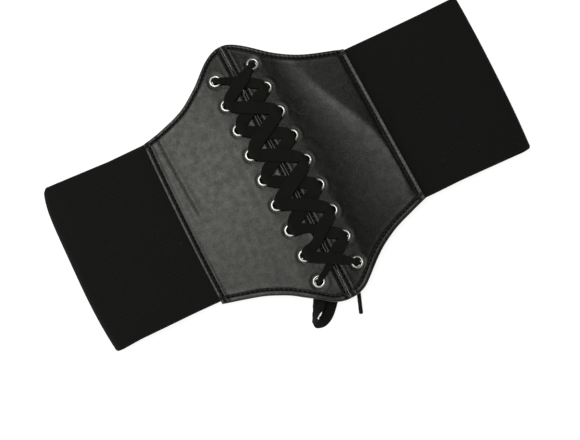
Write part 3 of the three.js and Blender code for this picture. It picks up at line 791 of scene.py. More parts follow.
def lace_end(start_side, drop):
    """Sections of one end of the lace, from the first row through every row to the knot."""
    def hole(side, row, offset):
        """One eyelet, with how far the lace in it lies off its middle."""
        return {**eyelet_place(side, row), "offset": offset}

    controls = []
    out = hole(start_side, 0, 0)
    for row in range(LAST_ROW):
        into = hole(-start_side, row + 1, 0 if row + 1 == LAST_ROW else BUNCH_OFFSET)
        is_over = (row % 2 == 1) == (start_side < 0)
        lie = LOOSE_STRANDS.get((start_side, row), ((1.0, 1.0), (0.0, 0.0)))
        strand = front_strand(out, into, PASS_OVER if is_over else PASS_UNDER, lie)
        controls += [bore_control(out, -start_side), *strand, bore_control(into, -start_side)]
        if row + 1 == LAST_ROW:
            break
        following = hole(start_side, row + 1, -BUNCH_OFFSET)
        controls += back_bar(into, following, drop)
        out = following
    side = -start_side
    last = eyelet_place(side, LAST_ROW)
    across = (0, side, 0)
    knot_reach = KNOT_SIZE[0] / 2 + 3 * SEAT_GAP
    wide, deep = BUNCHED["wide"] * 1.3, FLAT["deep"] * 1.5
    low = last["under"] - EYELET_BACK_RIM * 1.7
    turn_in = (
        last["x"] - side * 0.65 * EYELET_BACK_FLANGE / 2,
        last["y"] + 0.22 * KNOT_ABOVE_LAST_ROW,
        last["under"] - BAR_HIGH - FLAT["deep"],
    )
    controls.append(control((last["x"] - side * 0.1, last["y"], low), across, 2.1, 2.3))
    controls.append(control(turn_in, across, wide, deep))
    controls.append(control((KNOT[0] + side * knot_reach, KNOT[1], KNOT[2]), across, wide, deep))
    return controls


def curve_through(points, steps):
    """Smooth curve through points, timed by the root of their spacing, with steps pieces for each span."""
    pts = np.asarray(points, float)
    full = np.vstack([2 * pts[0] - pts[1], pts, 2 * pts[-1] - pts[-2]])
    found = []
    for i in range(len(pts) - 1):
        p0, p1, p2, p3 = full[i:i + 4]
        d = [max(np.linalg.norm(b - a) ** 0.5, 1e-4) for a, b in ((p0, p1), (p1, p2), (p2, p3))]
        m1 = (p1 - p0) / d[0] - (p2 - p0) / (d[0] + d[1]) + (p2 - p1) / d[1]
        m2 = (p2 - p1) / d[1] - (p3 - p1) / (d[1] + d[2]) + (p3 - p2) / d[2]
        m1, m2 = m1 * d[1], m2 * d[1]
        t = np.arange(steps)[:, None] / steps
        a, b = 2 * (p1 - p2) + m1 + m2, -3 * (p1 - p2) - 2 * m1 - m2
        found.append(a * t ** 3 + b * t ** 2 + m1 * t + p1)
    return np.vstack([*found, pts[-1:]])


def flat_section(sides):
    """Outline of a flat lace: straight faces, full rounded selvages, a slight hollow in the middle."""
    angle = np.arange(sides) * 2 * math.pi / sides
    u = np.sign(np.cos(angle)) * np.abs(np.cos(angle)) ** 0.55
    v = np.sign(np.sin(angle)) * np.abs(np.sin(angle)) ** 0.42
    return u, v * (0.9 + 0.1 * np.abs(u) ** 3)


def ribbon(name, controls, steps, sides=20):
    """A flat lace through its controls. Returns the piece and its middle line."""
    line = curve_through([c["at"] for c in controls], steps)
    count = len(line)
    at = np.arange(count) / steps
    base = np.minimum(at.astype(int), len(controls) - 2)
    local = smooth(at - base)[:, None]
    across_list = np.array([unit(c["across"]) for c in controls])
    sizes = np.array([[c["wide"], c["deep"]] for c in controls])
    across = across_list[base] * (1 - local) + across_list[base + 1] * local
    wide, deep = (sizes[base] * (1 - local) + sizes[base + 1] * local).T
    tangent = unit(np.gradient(line, axis=0))
    normal = unit(np.cross(tangent, across))
    across = np.cross(normal, tangent)
    u, v = flat_section(sides)
    rings = (
        line[:, None, :]
        + across[:, None, :] * (u[None, :, None] * wide[:, None, None])
        + normal[:, None, :] * (v[None, :, None] * deep[:, None, None])
    )
    verts = rings.reshape(-1, 3)
    uv = np.stack([np.tile(u, count), np.repeat(gone_along(line), sides)], axis=1)
    faces = tube_faces(count, sides)
    faces.append(tuple(range(sides))[::-1])
    faces.append(tuple(range((count - 1) * sides, count * sides)))
    piece = make_piece(name, verts, faces, LACE, uv=uv)
    return piece, line


def threaded_lace():
    """The whole lace through the eyelets: both ends and the bar that joins them."""
    left = [{**c, "across": -c["across"]} for c in lace_end(-1, BAR_HIGH)]
    right = lace_end(1, BAR_LOW)
    first = {side: {**eyelet_place(side, 0), "offset": 0} for side in (-1, 1)}
    bar = back_bar(first[-1], first[1], BAR_HIGH)
    piece, _ = ribbon("threaded_lace", left[::-1] + bar + right, 6)
    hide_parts("lace")


# Routes of the bow: x and y from the knot, height above the floor, tilt in degrees and share of width
LOOP_LEFT = [
    (-2.4, -4.7, 5.0, 0, 0.55),
    (-5.2, -11.2, 3.5, 0, 0.95),
    (-8.9, -17.2, 2.4, 0, 1.32),
    (-13.6, -22.7, 1.6, 0, 1.2),
    (-18.6, -28.2, 1.3, 0, 1.1),
    (-23.4, -31.2, 1.7, -14, 1.05),
    (-27.6, -31.0, 2.8, -34, 1.15),
    (-28.6, -29.3, 3.2, -54, 1.0),
    (-28.2, -27.4, 3.4, -64, 0.9),
    (-26.0, -24.8, 3.6, -48, 0.95),
    (-22.6, -21.6, 4.1, -14, 1.12),
    (-18.1, -15.2, 5.0, -8, 1.2),
    (-11.6, -8.6, 5.6, -8, 0.8),
    (-5.9, -3.6, 5.6, 0, 0.5),
]
LOOP_RIGHT = [
    (4.7, -1.8, 5.0, 0, 0.45),
    (11.0, -3.0, 3.0, 0, 0.8),
    (17.5, -3.8, 1.9, 8, 0.9),
    (23.5, -3.6, 2.1, 35, 0.9),
    (28.2, -0.4, 3.1, 60, 0.8),
    (27.4, 4.6, 3.4, 62, 0.8),
    (21.5, 5.9, 3.6, 50, 0.8),
    (14.0, 5.0, 4.3, 25, 0.7),
    (4.7, 2.2, 5.0, 0, 0.45),
]
TAIL_LEFT = [
    (-4.6, 2.6, 5.6, 0, 0.5),
    (-10.5, 4.2, 4.2, 0, 0.85),
    (-18.5, 3.8, 2.4, 0, 1),
    (-26.5, 1.6, 1.1, 0, 1),
    (-33.5, 1.6, 0.9, 0, 0.9),
    (-38.5, 3.4, 1.2, 0, 0.5),
]
TAIL_RIGHT = [
    (1.4, -5.0, 5.0, 0, 0.5),
    (4.4, -8.8, 3.8, 0, 0.8),
    (7.6, -12.6, 2.3, 0, 0.95),
    (7.9, -17.0, 1.1, 0, 0.95),
    (7.4, -21.5, 0.9, 0, 0.75),
    (5.87, -25.4, 1.4, 0, 0.4),
]


def route_controls(route):
    """Sections along a route of the bow."""
    at = np.array([(KNOT[0] + x, KNOT[1] + y, z) for x, y, z, _, _ in route])
    made = []
    for i, (_, _, _, tilt, wide) in enumerate(route):
        heading = unit(at[min(i + 1, len(at) - 1)] - at[max(i - 1, 0)])
        level = unit([-heading[1], heading[0], 0])
        across = np.array(Matrix.Rotation(math.radians(tilt), 3, heading.tolist())) @ level
        made.append(control(at[i], across, FLAT["wide"] * wide, FLAT["deep"] * (2 - wide)))
    return made


def bow_side(name, loop, tail, nodes):
    """One end of the lace from the knot: round its loop, back through the knot and out to its tip."""
    first, second = route_controls(loop), route_controls(tail)
    across = first[-1]["across"] + second[0]["across"]
    through = control(KNOT + np.array([0.0, 0.0, -0.4]), across, 1.7, 0.9)
    controls = [*first, through, *second]
    for before, after in zip(controls, controls[1:]):
        if float(np.dot(before["across"], after["across"])) < 0:
            after["across"] = -after["across"]
    piece, line = ribbon(name, controls, 8)
    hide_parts(*nodes)


def lathe(profile, sides):
    """A closed ring or body turned round Z from (radius, height) points, in millimetres."""
    angle = np.arange(sides) * 2 * math.pi / sides
    ring = np.array(profile, float)
    circle = np.stack([np.cos(angle), np.sin(angle), np.ones(sides)], axis=1)
    verts = (ring[:, None, [0, 0, 1]] * circle[None, :, :]).reshape(-1, 3)
    faces = tube_faces(len(ring), sides)
    if ring[0][0] > 1e-6 or ring[-1][0] > 1e-6:
        last = (len(ring) - 1) * sides
        faces += [(last + k, last + (k + 1) % sides, (k + 1) % sides, k) for k in range(sides)]
    return verts, faces


def aglet(name, route, node):
    """The hard tip: shrunk film over the lace's end, with a crimped waist and a rounded nose."""
    end, before = np.array(route[-1][:2]), np.array(route[-2][:2])
    heading = unit(end - before)
    r, half = AGLET_DIAMETER / 2, AGLET_LENGTH / 2
    profile = [
        (0, -half), (r * 0.8, -half), (r * 0.98, -half + 0.25), (r, -half + 0.6),
        (r * 0.97, -half + 2.2), (r * 0.95, 0), (r * 0.97, half - 2.5), (r * 0.99, half - 1.2),
        (r * 0.93, half - 0.55), (r * 0.72, half - 0.15), (r * 0.4, half), (0, half),
    ]
    verts, faces = lathe(profile, 28)
    along = np.array([heading[0], heading[1], 0.0])
    side = np.array([heading[1], -heading[0], 0.0])
    verts = verts @ np.array([side, [0.0, 0.0, 1.0], along])
    centre = np.array([KNOT[0] + end[0], KNOT[1] + end[1], r + 0.02]) + along * (half + SEAT_GAP)
    piece = make_piece(name, verts + centre, faces, FILM)
    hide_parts(node)
    return piece


# Half sizes of the knot's pinched core
KNOT_CORE = (5.1, 3.4, 2.0)


def bow_knot():
    """The knot: a pinched core of lace with one flat turn wrapped round it."""
    angle = np.arange(48) * 2 * math.pi / 48
    turn = np.stack([0.35 * np.sin(angle * 2), 3.35 * np.cos(angle), 1.72 * np.sin(angle)], axis=1) + KNOT
    controls = [control(p, (1, 0.12 * math.sin(a), 0), 3.0, 0.5) for p, a in zip(turn, angle)]
    controls.append(controls[0])
    piece, _ = ribbon("knot_turn", controls, 1)
    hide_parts("bow_knot")
    rings, sides = 19, 28
    verts, uv = [], []
    for i in range(rings):
        t = -1 + 2 * i / (rings - 1)
        fat = math.sqrt(max(0.0, 1 - abs(t) ** 2.6)) * (0.82 + 0.18 * abs(t))
        for k in range(sides):
            a = 2 * math.pi * k / sides
            folds = 1 + 0.07 * math.cos(6 * a + 2 * t)
            x = KNOT_CORE[0] * t
            y = KNOT_CORE[1] * fat * math.cos(a) * folds
            z = KNOT_CORE[2] * fat * math.sin(a) * folds
            verts.append(KNOT + np.array([x, y, z]))
            uv.append((math.cos(a), x))
    faces = [(a, d, c, b) for a, b, c, d in tube_faces(rings, sides)]
    make_piece("knot_core", verts, faces, LACE, uv=uv)


threaded_lace()
bow_knot()
TIP_LEFT = aglet("tip_left", TAIL_LEFT, "aglet_left")
TIP_RIGHT = aglet("tip_right", TAIL_RIGHT, "aglet_right")
bow_side("bow_left", LOOP_LEFT, TAIL_LEFT, ["bow_loop_left", "lace_tail_left"])
bow_side("bow_right", LOOP_RIGHT, TAIL_RIGHT, ["bow_loop_right", "lace_tail_right"])


# Leather halves

# Radius of each rolled edge, and, by side, what differs between the two side seams
HEM_ROLL = 0.9
MIDDLE_ROLL = 0.7
SEAM_ROLL = {-1: 0.3, 1: 0.4}
SEAM_GROOVE_WIDTH = {-1: 0.48, 1: 0.45}
SEAM_STRIP_RISE = {-1: 0.12, 1: 0.55}

# The leather sinks beside each eyelet's flange and swells a little round that
SEAT_DEPTH = 0.22
SEAT_SWELL = 0.07
SEAT_SWELL_REACH = 2.6
SEAT_WIDTH = 1.1

# How far the left side seam lies outward at its ends, and how much further at its middle
SEAM_OUT = 1.6
SEAM_BULGE = 0.9
SEAM_BULGE_HALF = 60.0


def hem_press(d, stitch, roll_radius, groove_depth=0.6, groove_width=0.55, dip=0.12):
    """How far an edge rolls down and its stitch line sinks, at a distance from the edge."""
    inside = np.clip(roll_radius - d, 0, roll_radius)
    roll = -(roll_radius - np.sqrt(np.maximum(roll_radius ** 2 - inside ** 2, 0)))
    groove = -groove_depth * bell(d, stitch, groove_width) - dip * bell(d, stitch - 0.3, 1.2)
    return roll + groove


def hem_puff(d, stitch):
    """How far the leather swells on both sides of a stitch line."""
    return 0.05 * bell(d, stitch * 0.45, 0.6) + 0.13 * bell(d, stitch + 1.8, 1.2)


def soft_dents(side, x, y):
    """Broad dents and ripples of the leather where it lies loose, and the ridge over the elastic's end."""
    across = np.abs(x) / PANEL_HALF
    if side < 0:
        even = 3.1 * (1 - across) - 0.9
        roof = (even - crown(x)) * smooth((across - 0.3) / 0.1)
        ripple = 0.10 * np.sin(x / 13.0 + y / 31.0 + 0.6) + 0.08 * np.sin(y / 17.0 - x / 41.0)
        ripple = ripple * smooth((across - 0.3) / 0.3)
        upper = smooth((y + 16.0) / 22.0)
        valley = 64.4 - 2.5 * (47.0 - y) / 49.0
        ridge = upper * (0.1 * bell(np.abs(x), valley + 3.6, 2.0) - 0.32 * bell(np.abs(x), valley, 2.0))
        return roof + ripple + ridge
    ripple = 0.04 * np.sin(x / 9.0 - y / 26.0) + 0.06 * np.sin(y / 15.0 + x / 33.0 + 1.1)
    pucker = 0.05 * np.sin(y / 2.6 + x / 5.0) * bell(x, 25.0, 5.0)
    return right_lay(x, y) + (ripple + pucker) * smooth((across - 0.27) / 0.1)


# Distances from a hem at which the leather has a row of points, and its even rows and columns
HEM_ROWS = (
    0, 0.06, 0.2, 0.42, 0.66, 0.9, 1.2, 1.6, 2.0, 2.3, 2.55,
    2.8, 3.0, 3.2, 3.45, 3.65, 3.85, 4.1, 4.5, 5.0, 5.6, 6.4,
)
SEAM_COLUMNS = (0, 0.06, 0.2, 0.42, 0.66, 0.9, 1.2, 1.55, 1.9, 2.25)
STITCH_COLUMNS = (-0.45, -0.22, 0, 0.22, 0.45, 0.9, 1.5, 2.2, 3.0)
PLAIN_ROWS = 170
COLUMN_STEP = 0.62
EYELET_HOLE = EYELET_BORE / 2 + EYELET_WALL + 0.15


def stations(width):
    """Distances across a half, close together over its seams and their stitch lines."""
    near, far = (
        sorted({*SEAM_COLUMNS, *(stitch + s for s in STITCH_COLUMNS)})
        for stitch in (MIDDLE_STITCH, SEAM_STITCH)
    )
    first, last = near[-1], width - far[-1]
    count = max(2, int(round((last - first) / COLUMN_STEP)))
    plain = [mix(first, last, i / count) for i in range(1, count)]
    return np.array([*near, *plain, *(width - d for d in reversed(far))])


def as_laid(points):
    """Points of the front with the left side seam bowed outward, as the loose leather lies."""
    points = np.array(points, float)
    x, y = points[:, 0], points[:, 1]
    out = (SEAM_OUT + SEAM_BULGE * (1 - (y / SEAM_BULGE_HALF) ** 2)) * smooth((-x - 40.0) / 36.0)
    points[:, 0] = x - np.clip(out, 0, None)
    return points


def leather_grid(side):
    """Points of one half seen from above, and how far each lies from the half's four edges."""
    width = PANEL_HALF - SLIT_HALF
    across = stations(width)
    x = SLIT_HALF + across
    upper_edge, lower_edge = hem_y(side, 1, x), hem_y(side, -1, x)
    stretch_up = np.sqrt(1 + np.gradient(upper_edge, x) ** 2)
    stretch_low = np.sqrt(1 + np.gradient(lower_edge, x) ** 2)
    hem = np.array(HEM_ROWS)
    low = lower_edge[:, None] + hem[None, :] * stretch_low[:, None]
    high = upper_edge[:, None] - hem[None, ::-1] * stretch_up[:, None]
    share = (np.arange(PLAIN_ROWS) + 1) / (PLAIN_ROWS + 1)
    y = np.hstack([low, mix(low[:, -1:], high[:, :1], share[None, :]), high])
    from_middle = np.repeat(across[:, None], y.shape[1], axis=1)
    return {
        "side": side,
        "columns": x,
        "x": side * np.repeat(x[:, None], y.shape[1], axis=1),
        "y": y,
        "from_top": (upper_edge[:, None] - y) / stretch_up[:, None],
        "from_low": (y - lower_edge[:, None]) / stretch_low[:, None],
        "from_middle": from_middle,
        "from_seam": width - from_middle,
        "run": np.concatenate([[0], np.cumsum(np.hypot(np.diff(x), np.diff(upper_edge)))])[:, None],
    }


def hem_relief(grid):
    """Rolled edges with their sunk stitch lines, and the swelling beside them."""
    side = grid["side"]
    top, low, middle, seam = (grid["from_" + word] for word in ("top", "low", "middle", "seam"))
    press = np.minimum.reduce([
        hem_press(top, HEM_STITCH, HEM_ROLL),
        hem_press(low, LOW_HEM_STITCH, HEM_ROLL),
        hem_press(middle, MIDDLE_STITCH, MIDDLE_ROLL, groove_depth=0.8),
        hem_press(seam, SEAM_STITCH, SEAM_ROLL[side], 0.9, SEAM_GROOVE_WIDTH[side], dip=0.0),
    ])
    puff = np.maximum.reduce([
        hem_puff(top, HEM_STITCH),
        hem_puff(low, LOW_HEM_STITCH),
        hem_puff(middle, MIDDLE_STITCH),
        0.05 * bell(seam, SEAM_STITCH * 0.45, 0.6),
    ])
    return press, puff


def stitch_beads(grid):
    """Small swellings of the upper hem and of the side seam, one for each stitch."""
    hem_wave = np.sin(2 * math.pi * grid["run"] / STITCH_PITCH)
    seam_wave = np.sin(2 * math.pi * grid["y"] / STITCH_PITCH)
    beads = 0.10 * hem_wave * bell(grid["from_top"], HEM_STITCH * 0.6, 0.75)
    return beads + 0.06 * seam_wave * bell(grid["from_seam"], SEAM_STITCH * 0.45, 0.7)


def eyelet_distance(side, x, y):
    """Distance from points to the middle of the nearest eyelet."""
    places = [eyelet_place(side, row) for row in range(EYELET_ROWS)]
    return np.minimum.reduce([np.hypot(x - place["x"], y - place["y"]) for place in places])


def leather_skins(grid):
    """Heights of the upper and the lower skin, and which points lie on the half's border."""
    side, x, y, seam = (grid[word] for word in ("side", "x", "y", "from_seam"))
    press, puff = hem_relief(grid)
    strip = SEAM_STRIP_RISE[side] * smooth((SEAM_STITCH - 0.4 - seam) / (SEAM_STITCH - 0.6))
    dents = soft_dents(side, x, y) * smooth((seam - 1.0) / 6.0)
    base = leather_base(x, y) + stitch_beads(grid) + dents + strip
    near, flange = eyelet_distance(side, x, y), EYELET_FLANGE / 2
    seat = -SEAT_DEPTH * np.exp(-(np.maximum(0, near - flange) / SEAT_WIDTH) ** 2) * (near > flange - 0.2)
    seat = seat + SEAT_SWELL * np.exp(-((near - flange - SEAT_SWELL_REACH) / SEAT_WIDTH) ** 2)
    top = base + press + puff * smooth((near - flange) / 4.0) + np.where(near > flange, seat, 0)
    radius = LEATHER_THICK / 2
    nearest_edge = np.minimum.reduce([grid["from_" + word] for word in ("top", "low", "middle", "seam")])
    inside = np.clip(radius - nearest_edge, 0, radius)
    roll = radius - np.sqrt(np.maximum(radius ** 2 - inside ** 2, 0))
    under = np.minimum(base - LEATHER_THICK + roll, top - 0.35)
    border = np.zeros(y.shape, bool)
    border[[0, -1], :] = True
    border[:, [0, -1]] = True
    top[border] = (base - radius)[border]
    return top, under, border


def round_the_holes(grid, kept, border, skins, verts):
    """Moves the points beside the cut cells onto true circles round the eyelets."""
    side, x, y = grid["side"], grid["x"], grid["y"]
    columns, rows = y.shape
    use = np.zeros(y.shape, int)
    for i, j in ((0, 0), (1, 0), (0, 1), (1, 1)):
        use[i:columns - 1 + i, j:rows - 1 + j] += kept
    rim = (use > 0) & (use < 4) & ~border
    for row in range(EYELET_ROWS):
        place = eyelet_place(side, row)
        close = np.hypot(x - place["x"], y - place["y"]) < EYELET_HOLE + 2
        for i, j in np.argwhere(rim & close):
            away = np.array([x[i, j] - place["x"], y[i, j] - place["y"]])
            moved = away / np.linalg.norm(away) * EYELET_HOLE
            for skin in skins:
                verts[skin[i, j], 0], verts[skin[i, j], 1] = place["x"] + moved[0], place["y"] + moved[1]


def leather_faces(kept, border, upper, lower):
    """Faces of both skins, and the walls round the holes. The border's points belong to both skins."""
    faces, edges = [], {}
    for i, j in np.argwhere(kept):
        corner = [(i, j), (i + 1, j), (i + 1, j + 1), (i, j + 1)]
        faces.append([upper[c] for c in corner])
        faces.append([lower[c] for c in corner][::-1])
        for a, b in zip(corner, corner[1:] + corner[:1]):
            if not (border[a] and border[b]):
                key = (min(a, b), max(a, b))
                edges[key] = None if key in edges else (a, b)
    for a, b in filter(None, edges.values()):
        faces.append([upper[b], upper[a], lower[a], lower[b]])
    return faces


def leather_half(side, word):
    """One half of the front, cut round its eyelets. Returns a reader of its finished height."""
    grid = leather_grid(side)
    columns, x, y = grid["columns"], grid["x"], grid["y"]
    top, under, border = leather_skins(grid)
    upper = np.arange(y.size).reshape(y.shape)
    lower = upper + y.size
    lower[border] = upper[border]
    verts = np.vstack([np.stack([x, y, z], axis=2).reshape(-1, 3) for z in (top, under)])
    centre_x = (x[:-1, :-1] + x[1:, 1:]) / 2
    centre_y = (y[:-1, :-1] + y[1:, 1:]) / 2
    kept = eyelet_distance(side, centre_x, centre_y) > EYELET_HOLE
    round_the_holes(grid, kept, border, (upper, lower), verts)
    faces = leather_faces(kept, border, upper, lower)
    if side < 0:
        faces = [face[::-1] for face in faces]
    used = np.unique(np.concatenate([np.ravel(f) for f in faces]))
    renumber = np.full(len(verts), -1)
    renumber[used] = np.arange(len(used))
    faces = [[int(renumber[v]) for v in f] for f in faces]
    piece = make_piece("front_" + word, as_laid(verts[used]), faces, LEATHER)
    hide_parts("leather_" + word)

    def height_at(px, py):
        """Height of the finished leather near a point, read from its own grid."""
        i = int(np.clip(np.searchsorted(columns, abs(px)), 1, len(columns) - 1))
        i = i if abs(columns[i] - abs(px)) < abs(columns[i - 1] - abs(px)) else i - 1
        return float(np.interp(py, y[i], top[i]))

    return height_at


LEATHER_HEIGHT = {-1: leather_half(-1, "left"), 1: leather_half(1, "right")}


# Stitches, each with its length, its half thickness, and how it stands over and ends under the leather
STITCH_LENGTH = 2.5
THREAD_HALF = 0.5
STITCH_ARCH = 0.42
STITCH_SUNK = 0.2


def stitch_row(points, height_at):
    """Short sunk lengths of thread along a line on the leather."""
    line = np.asarray(points, float)
    gone = gone_along(line)
    count = int(gone[-1] // STITCH_PITCH)
    spare = gone[-1] - count * STITCH_PITCH
    verts, faces = [], []
    rings, sides = 9, 8
    for s in range(count):
        middle = spare / 2 + (s + 0.5) * STITCH_PITCH
        start = len(verts)
        for i in range(rings):
            t = -1 + 2 * i / (rings - 1)
            at = np.clip(middle + t * STITCH_LENGTH / 2, 0, gone[-1])
            px, py = (float(np.interp(at, gone, line[:, k])) for k in (0, 1))
            qx, qy = (float(np.interp(min(at + 0.3, gone[-1]), gone, line[:, k])) for k in (0, 1))
            ox, oy = (float(np.interp(max(at - 0.3, 0), gone, line[:, k])) for k in (0, 1))
            hx, hy = unit([qx - ox, qy - oy])
            slim = THREAD_HALF * (1 - 0.55 * abs(t) ** 3)
            lift = STITCH_ARCH * (1 - abs(t) ** 2.5) - STITCH_SUNK
            z = height_at(px, py) + lift
            for k in range(sides):
                a = 2 * math.pi * k / sides
                out, up = slim * math.cos(a), slim * 0.8 * math.sin(a)
                verts.append((px - hy * out, py + hx * out, z + up))
        faces += tube_faces(rings, sides, start)
        faces.append([start + k for k in range(sides)][::-1])
        faces.append([start + (rings - 1) * sides + k for k in range(sides)])
    return verts, faces


def join_rows(name, rows):
    """One piece from several rows of stitches."""
    verts, faces = [], []
    for v, f in rows:
        base = len(verts)
        verts += v
        faces += [[base + k for k in face] for face in f]
    return make_piece(name, as_laid(verts), faces, THREAD)


def stitching(side, word):
    """The four stitch lines of one half: both hems, the side seam and the middle seam."""
    height_at = LEATHER_HEIGHT[side]
    x = np.linspace(SLIT_HALF + MIDDLE_STITCH, PANEL_HALF - SEAM_STITCH, 160)
    curves = {}
    for end in (1, -1):
        edge = hem_y(side, end, x)
        slope = np.gradient(edge, x)
        away = HEM_STITCH if end > 0 else LOW_HEM_STITCH
        curves[end] = edge - end * away * np.sqrt(1 + slope ** 2)
    top_row = np.stack([side * x, curves[1]], axis=1)
    low_row = np.stack([side * x, curves[-1]], axis=1)
    seam_x = side * (PANEL_HALF - SEAM_STITCH)
    seam = [(seam_x, mix(curves[-1][-1], curves[1][-1], k / 40)) for k in range(41)]
    mid_x = side * (SLIT_HALF + MIDDLE_STITCH)
    middle = [(mid_x, mix(curves[-1][0], curves[1][0], k / 60)) for k in range(61)]
    rows = [stitch_row(line, height_at) for line in (top_row, low_row, seam, middle)]
    join_rows("stitches_" + word, rows)


stitching(-1, "left")
stitching(1, "right")


# Eyelets

def eyelet_profile():
    """Section of one eyelet: rolled rim, barrel and the turned-over back."""
    bore, barrel = EYELET_BORE / 2, EYELET_BORE / 2 + EYELET_WALL
    flange, back = EYELET_FLANGE / 2, EYELET_BACK_FLANGE / 2
    under = -LEATHER_THICK - EYELET_SEAT
    points = [(bore + 0.12, under - EYELET_BACK_RIM * 0.9), (bore, under - 0.1)]
    points += [(bore, -0.2), (bore + 0.02, 0.25)]
    middle, half = (bore + flange) / 2, (flange - bore) / 2
    for k in range(11):
        a = math.pi * (1 - k / 10)
        lift = EYELET_RIM * math.sin(a) ** 0.5 if 0 < k < 10 else 0.0
        points.append((middle + half * math.cos(a), max(0.3 if k < 5 else 0.12, lift)))
    points += [(flange - 0.02, EYELET_SEAT * 0.5), (flange - 0.25, 0.02), (barrel, 0.02), (barrel, under)]
    points += [(back - 0.15, under), (back, under - 0.15), (back - 0.1, under - 0.42)]
    points += [(mix(barrel, back, 0.5), under - EYELET_BACK_RIM), (bore + 0.45, under - EYELET_BACK_RIM)]
    return points


def eyelets(side, word):
    """One column of eyelets. Their map marks the bore, where the metal is painted dark as shade."""
    profile = eyelet_profile()
    verts, faces = [], []
    sides = 56
    ring, ring_faces = lathe(profile, sides)
    within = np.repeat([1.0 if r < EYELET_BORE / 2 + 0.05 and z < 0.5 else 0.0 for r, z in profile], sides)
    for row in range(EYELET_ROWS):
        verts.append(square_to_leather(ring, eyelet_place(side, row)))
        faces += [[row * len(ring) + k for k in f] for f in ring_faces]
    marks = np.tile(np.stack([within, 0 * within], axis=1), (EYELET_ROWS, 1))
    piece = make_piece("eyelets_" + word, np.vstack(verts), faces, NICKEL, uv=marks)
    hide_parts(*[f"eyelet_{word}_{row + 1}" for row in range(EYELET_ROWS)])


eyelets(-1, "left")
eyelets(1, "right")


# Elastic band

# Each wing: its side, how far its fold lies from the middle seam, its slopes in degrees, and its fold's bow
WINGS = (
    {"side": -1, "fold": FOLD_TO_FOLD / 2 + FRONT_OFFSET, "drop": -1.7, "lean": 0.3, "bow": 3.6},
    {"side": 1, "fold": FOLD_TO_FOLD / 2 - FRONT_OFFSET, "drop": 0.9, "lean": 3.6, "bow": 1.7},
)


def band_route():
    """Stations through the middle of the band: x, z, outward direction, shift, freedom and lean."""
    front_steps, fold_steps, back_steps = 60, 22, 110
    halves = []
    for wing in WINGS:
        side, fold = wing["side"], wing["fold"]
        drop, lean = (math.tan(math.radians(wing[word])) for word in ("drop", "lean"))
        centre_x = fold - FOLD_RADIUS - BAND_THICK / 2
        half = []
        for i in range(front_steps + 1):
            x = mix(LAP_START, centre_x, i / front_steps)
            z = mix(BAND_SEAM_MID, BAND_FOLD_MID, float(smooth((x - PANEL_HALF) / (centre_x - PANEL_HALF))))
            past = max(0.0, x - PANEL_HALF)
            free = past / (fold - PANEL_HALF)
            half.append((side * x, z, 0.0, 1.0, -drop * past, free, lean, side * wing["bow"] * free ** 3))
        for i in range(1, fold_steps + 1):
            turn = math.pi * i / fold_steps
            ox, oz = side * math.sin(turn), math.cos(turn)
            x = side * centre_x + FOLD_RADIUS * ox
            z = BAND_THICK / 2 + FOLD_RADIUS * (1 + oz)
            half.append((x, z, ox, oz, -drop * (fold - PANEL_HALF), 1.0, lean, side * wing["bow"]))
        halves.append(half)
    first, last = halves[0][-1], halves[1][-1]
    back = []
    for i in range(1, back_steps):
        share = i / back_steps
        shift = mix(first[4], last[4], share) + BACK_RISE * (1 - (2 * share - 1) ** 4)
        lean = mix(first[6], last[6], share)
        bow = first[7] * (1 - share) ** 5 + last[7] * share ** 5
        back.append((mix(first[0], last[0], share), BAND_THICK / 2, 0.0, -1.0, shift, 1.0, lean, bow))
    return np.array(halves[0] + back + halves[1][::-1])


BAND_ROWS = 90
CORNER_ROUND = 3.4


def band_skins(route, gone):
    """Points of the band's outer and inner skin over its stations, with its edges rounded."""
    x, z, ox, oz, shift, free, lean, bow = (route[:, k][:, None] for k in range(8))
    share = np.linspace(-1, 1, BAND_ROWS)[None, :]
    half = mix(BAND_SEAM_HEIGHT / 2, BAND_HALF, smooth(free * 2))
    left_fold = WINGS[0]["fold"] * WINGS[0]["side"]
    corner = np.clip((x + ox * BAND_THICK / 2 - left_fold) / CORNER_ROUND, 0, 1)
    half_top = half - CORNER_ROUND * (1 - np.sqrt(1 - (1 - corner) ** 2))
    along = np.where(share > 0, share * half_top, share * half)
    ripple = 0.22 * np.sin(gone / 16.0 + share * 1.7) * np.abs(share) ** 2
    ripple = ripple + 0.1 * np.sin(gone / 7.3 - share * 4.0)
    ripple = ripple * smooth(free * 3) * (oz > 0.5)
    selvage = 0.92 + 0.12 * smooth((np.abs(share) - 0.955) / 0.03)
    wander = 0.35 * np.sin(gone / 23.0 + 1.0) * np.sign(share) * np.abs(share) ** 6 * smooth(free * 3)
    # The left fold stays out almost to its upper corner
    full = np.where((bow < 0) & (share > 0), 7.0, 2.6)
    fan = along * lean * smooth(free) + bow * (1 - np.abs(share) ** full)
    edge_fade = np.clip((1 - np.abs(share)) * half / 0.5, 0, 1)
    round_edge = np.sqrt(1 - (1 - edge_fade) ** 2) * 0.85 + 0.15
    skins = []
    for skin in (1, -1):
        reach = skin * BAND_THICK / 2 * selvage * round_edge + ripple
        points = (x + ox * reach + fan, along + shift - wander, np.maximum(z + oz * reach, 0.0))
        skins.append(np.stack(np.broadcast_arrays(*points), axis=2).reshape(-1, 3))
    return np.vstack(skins)


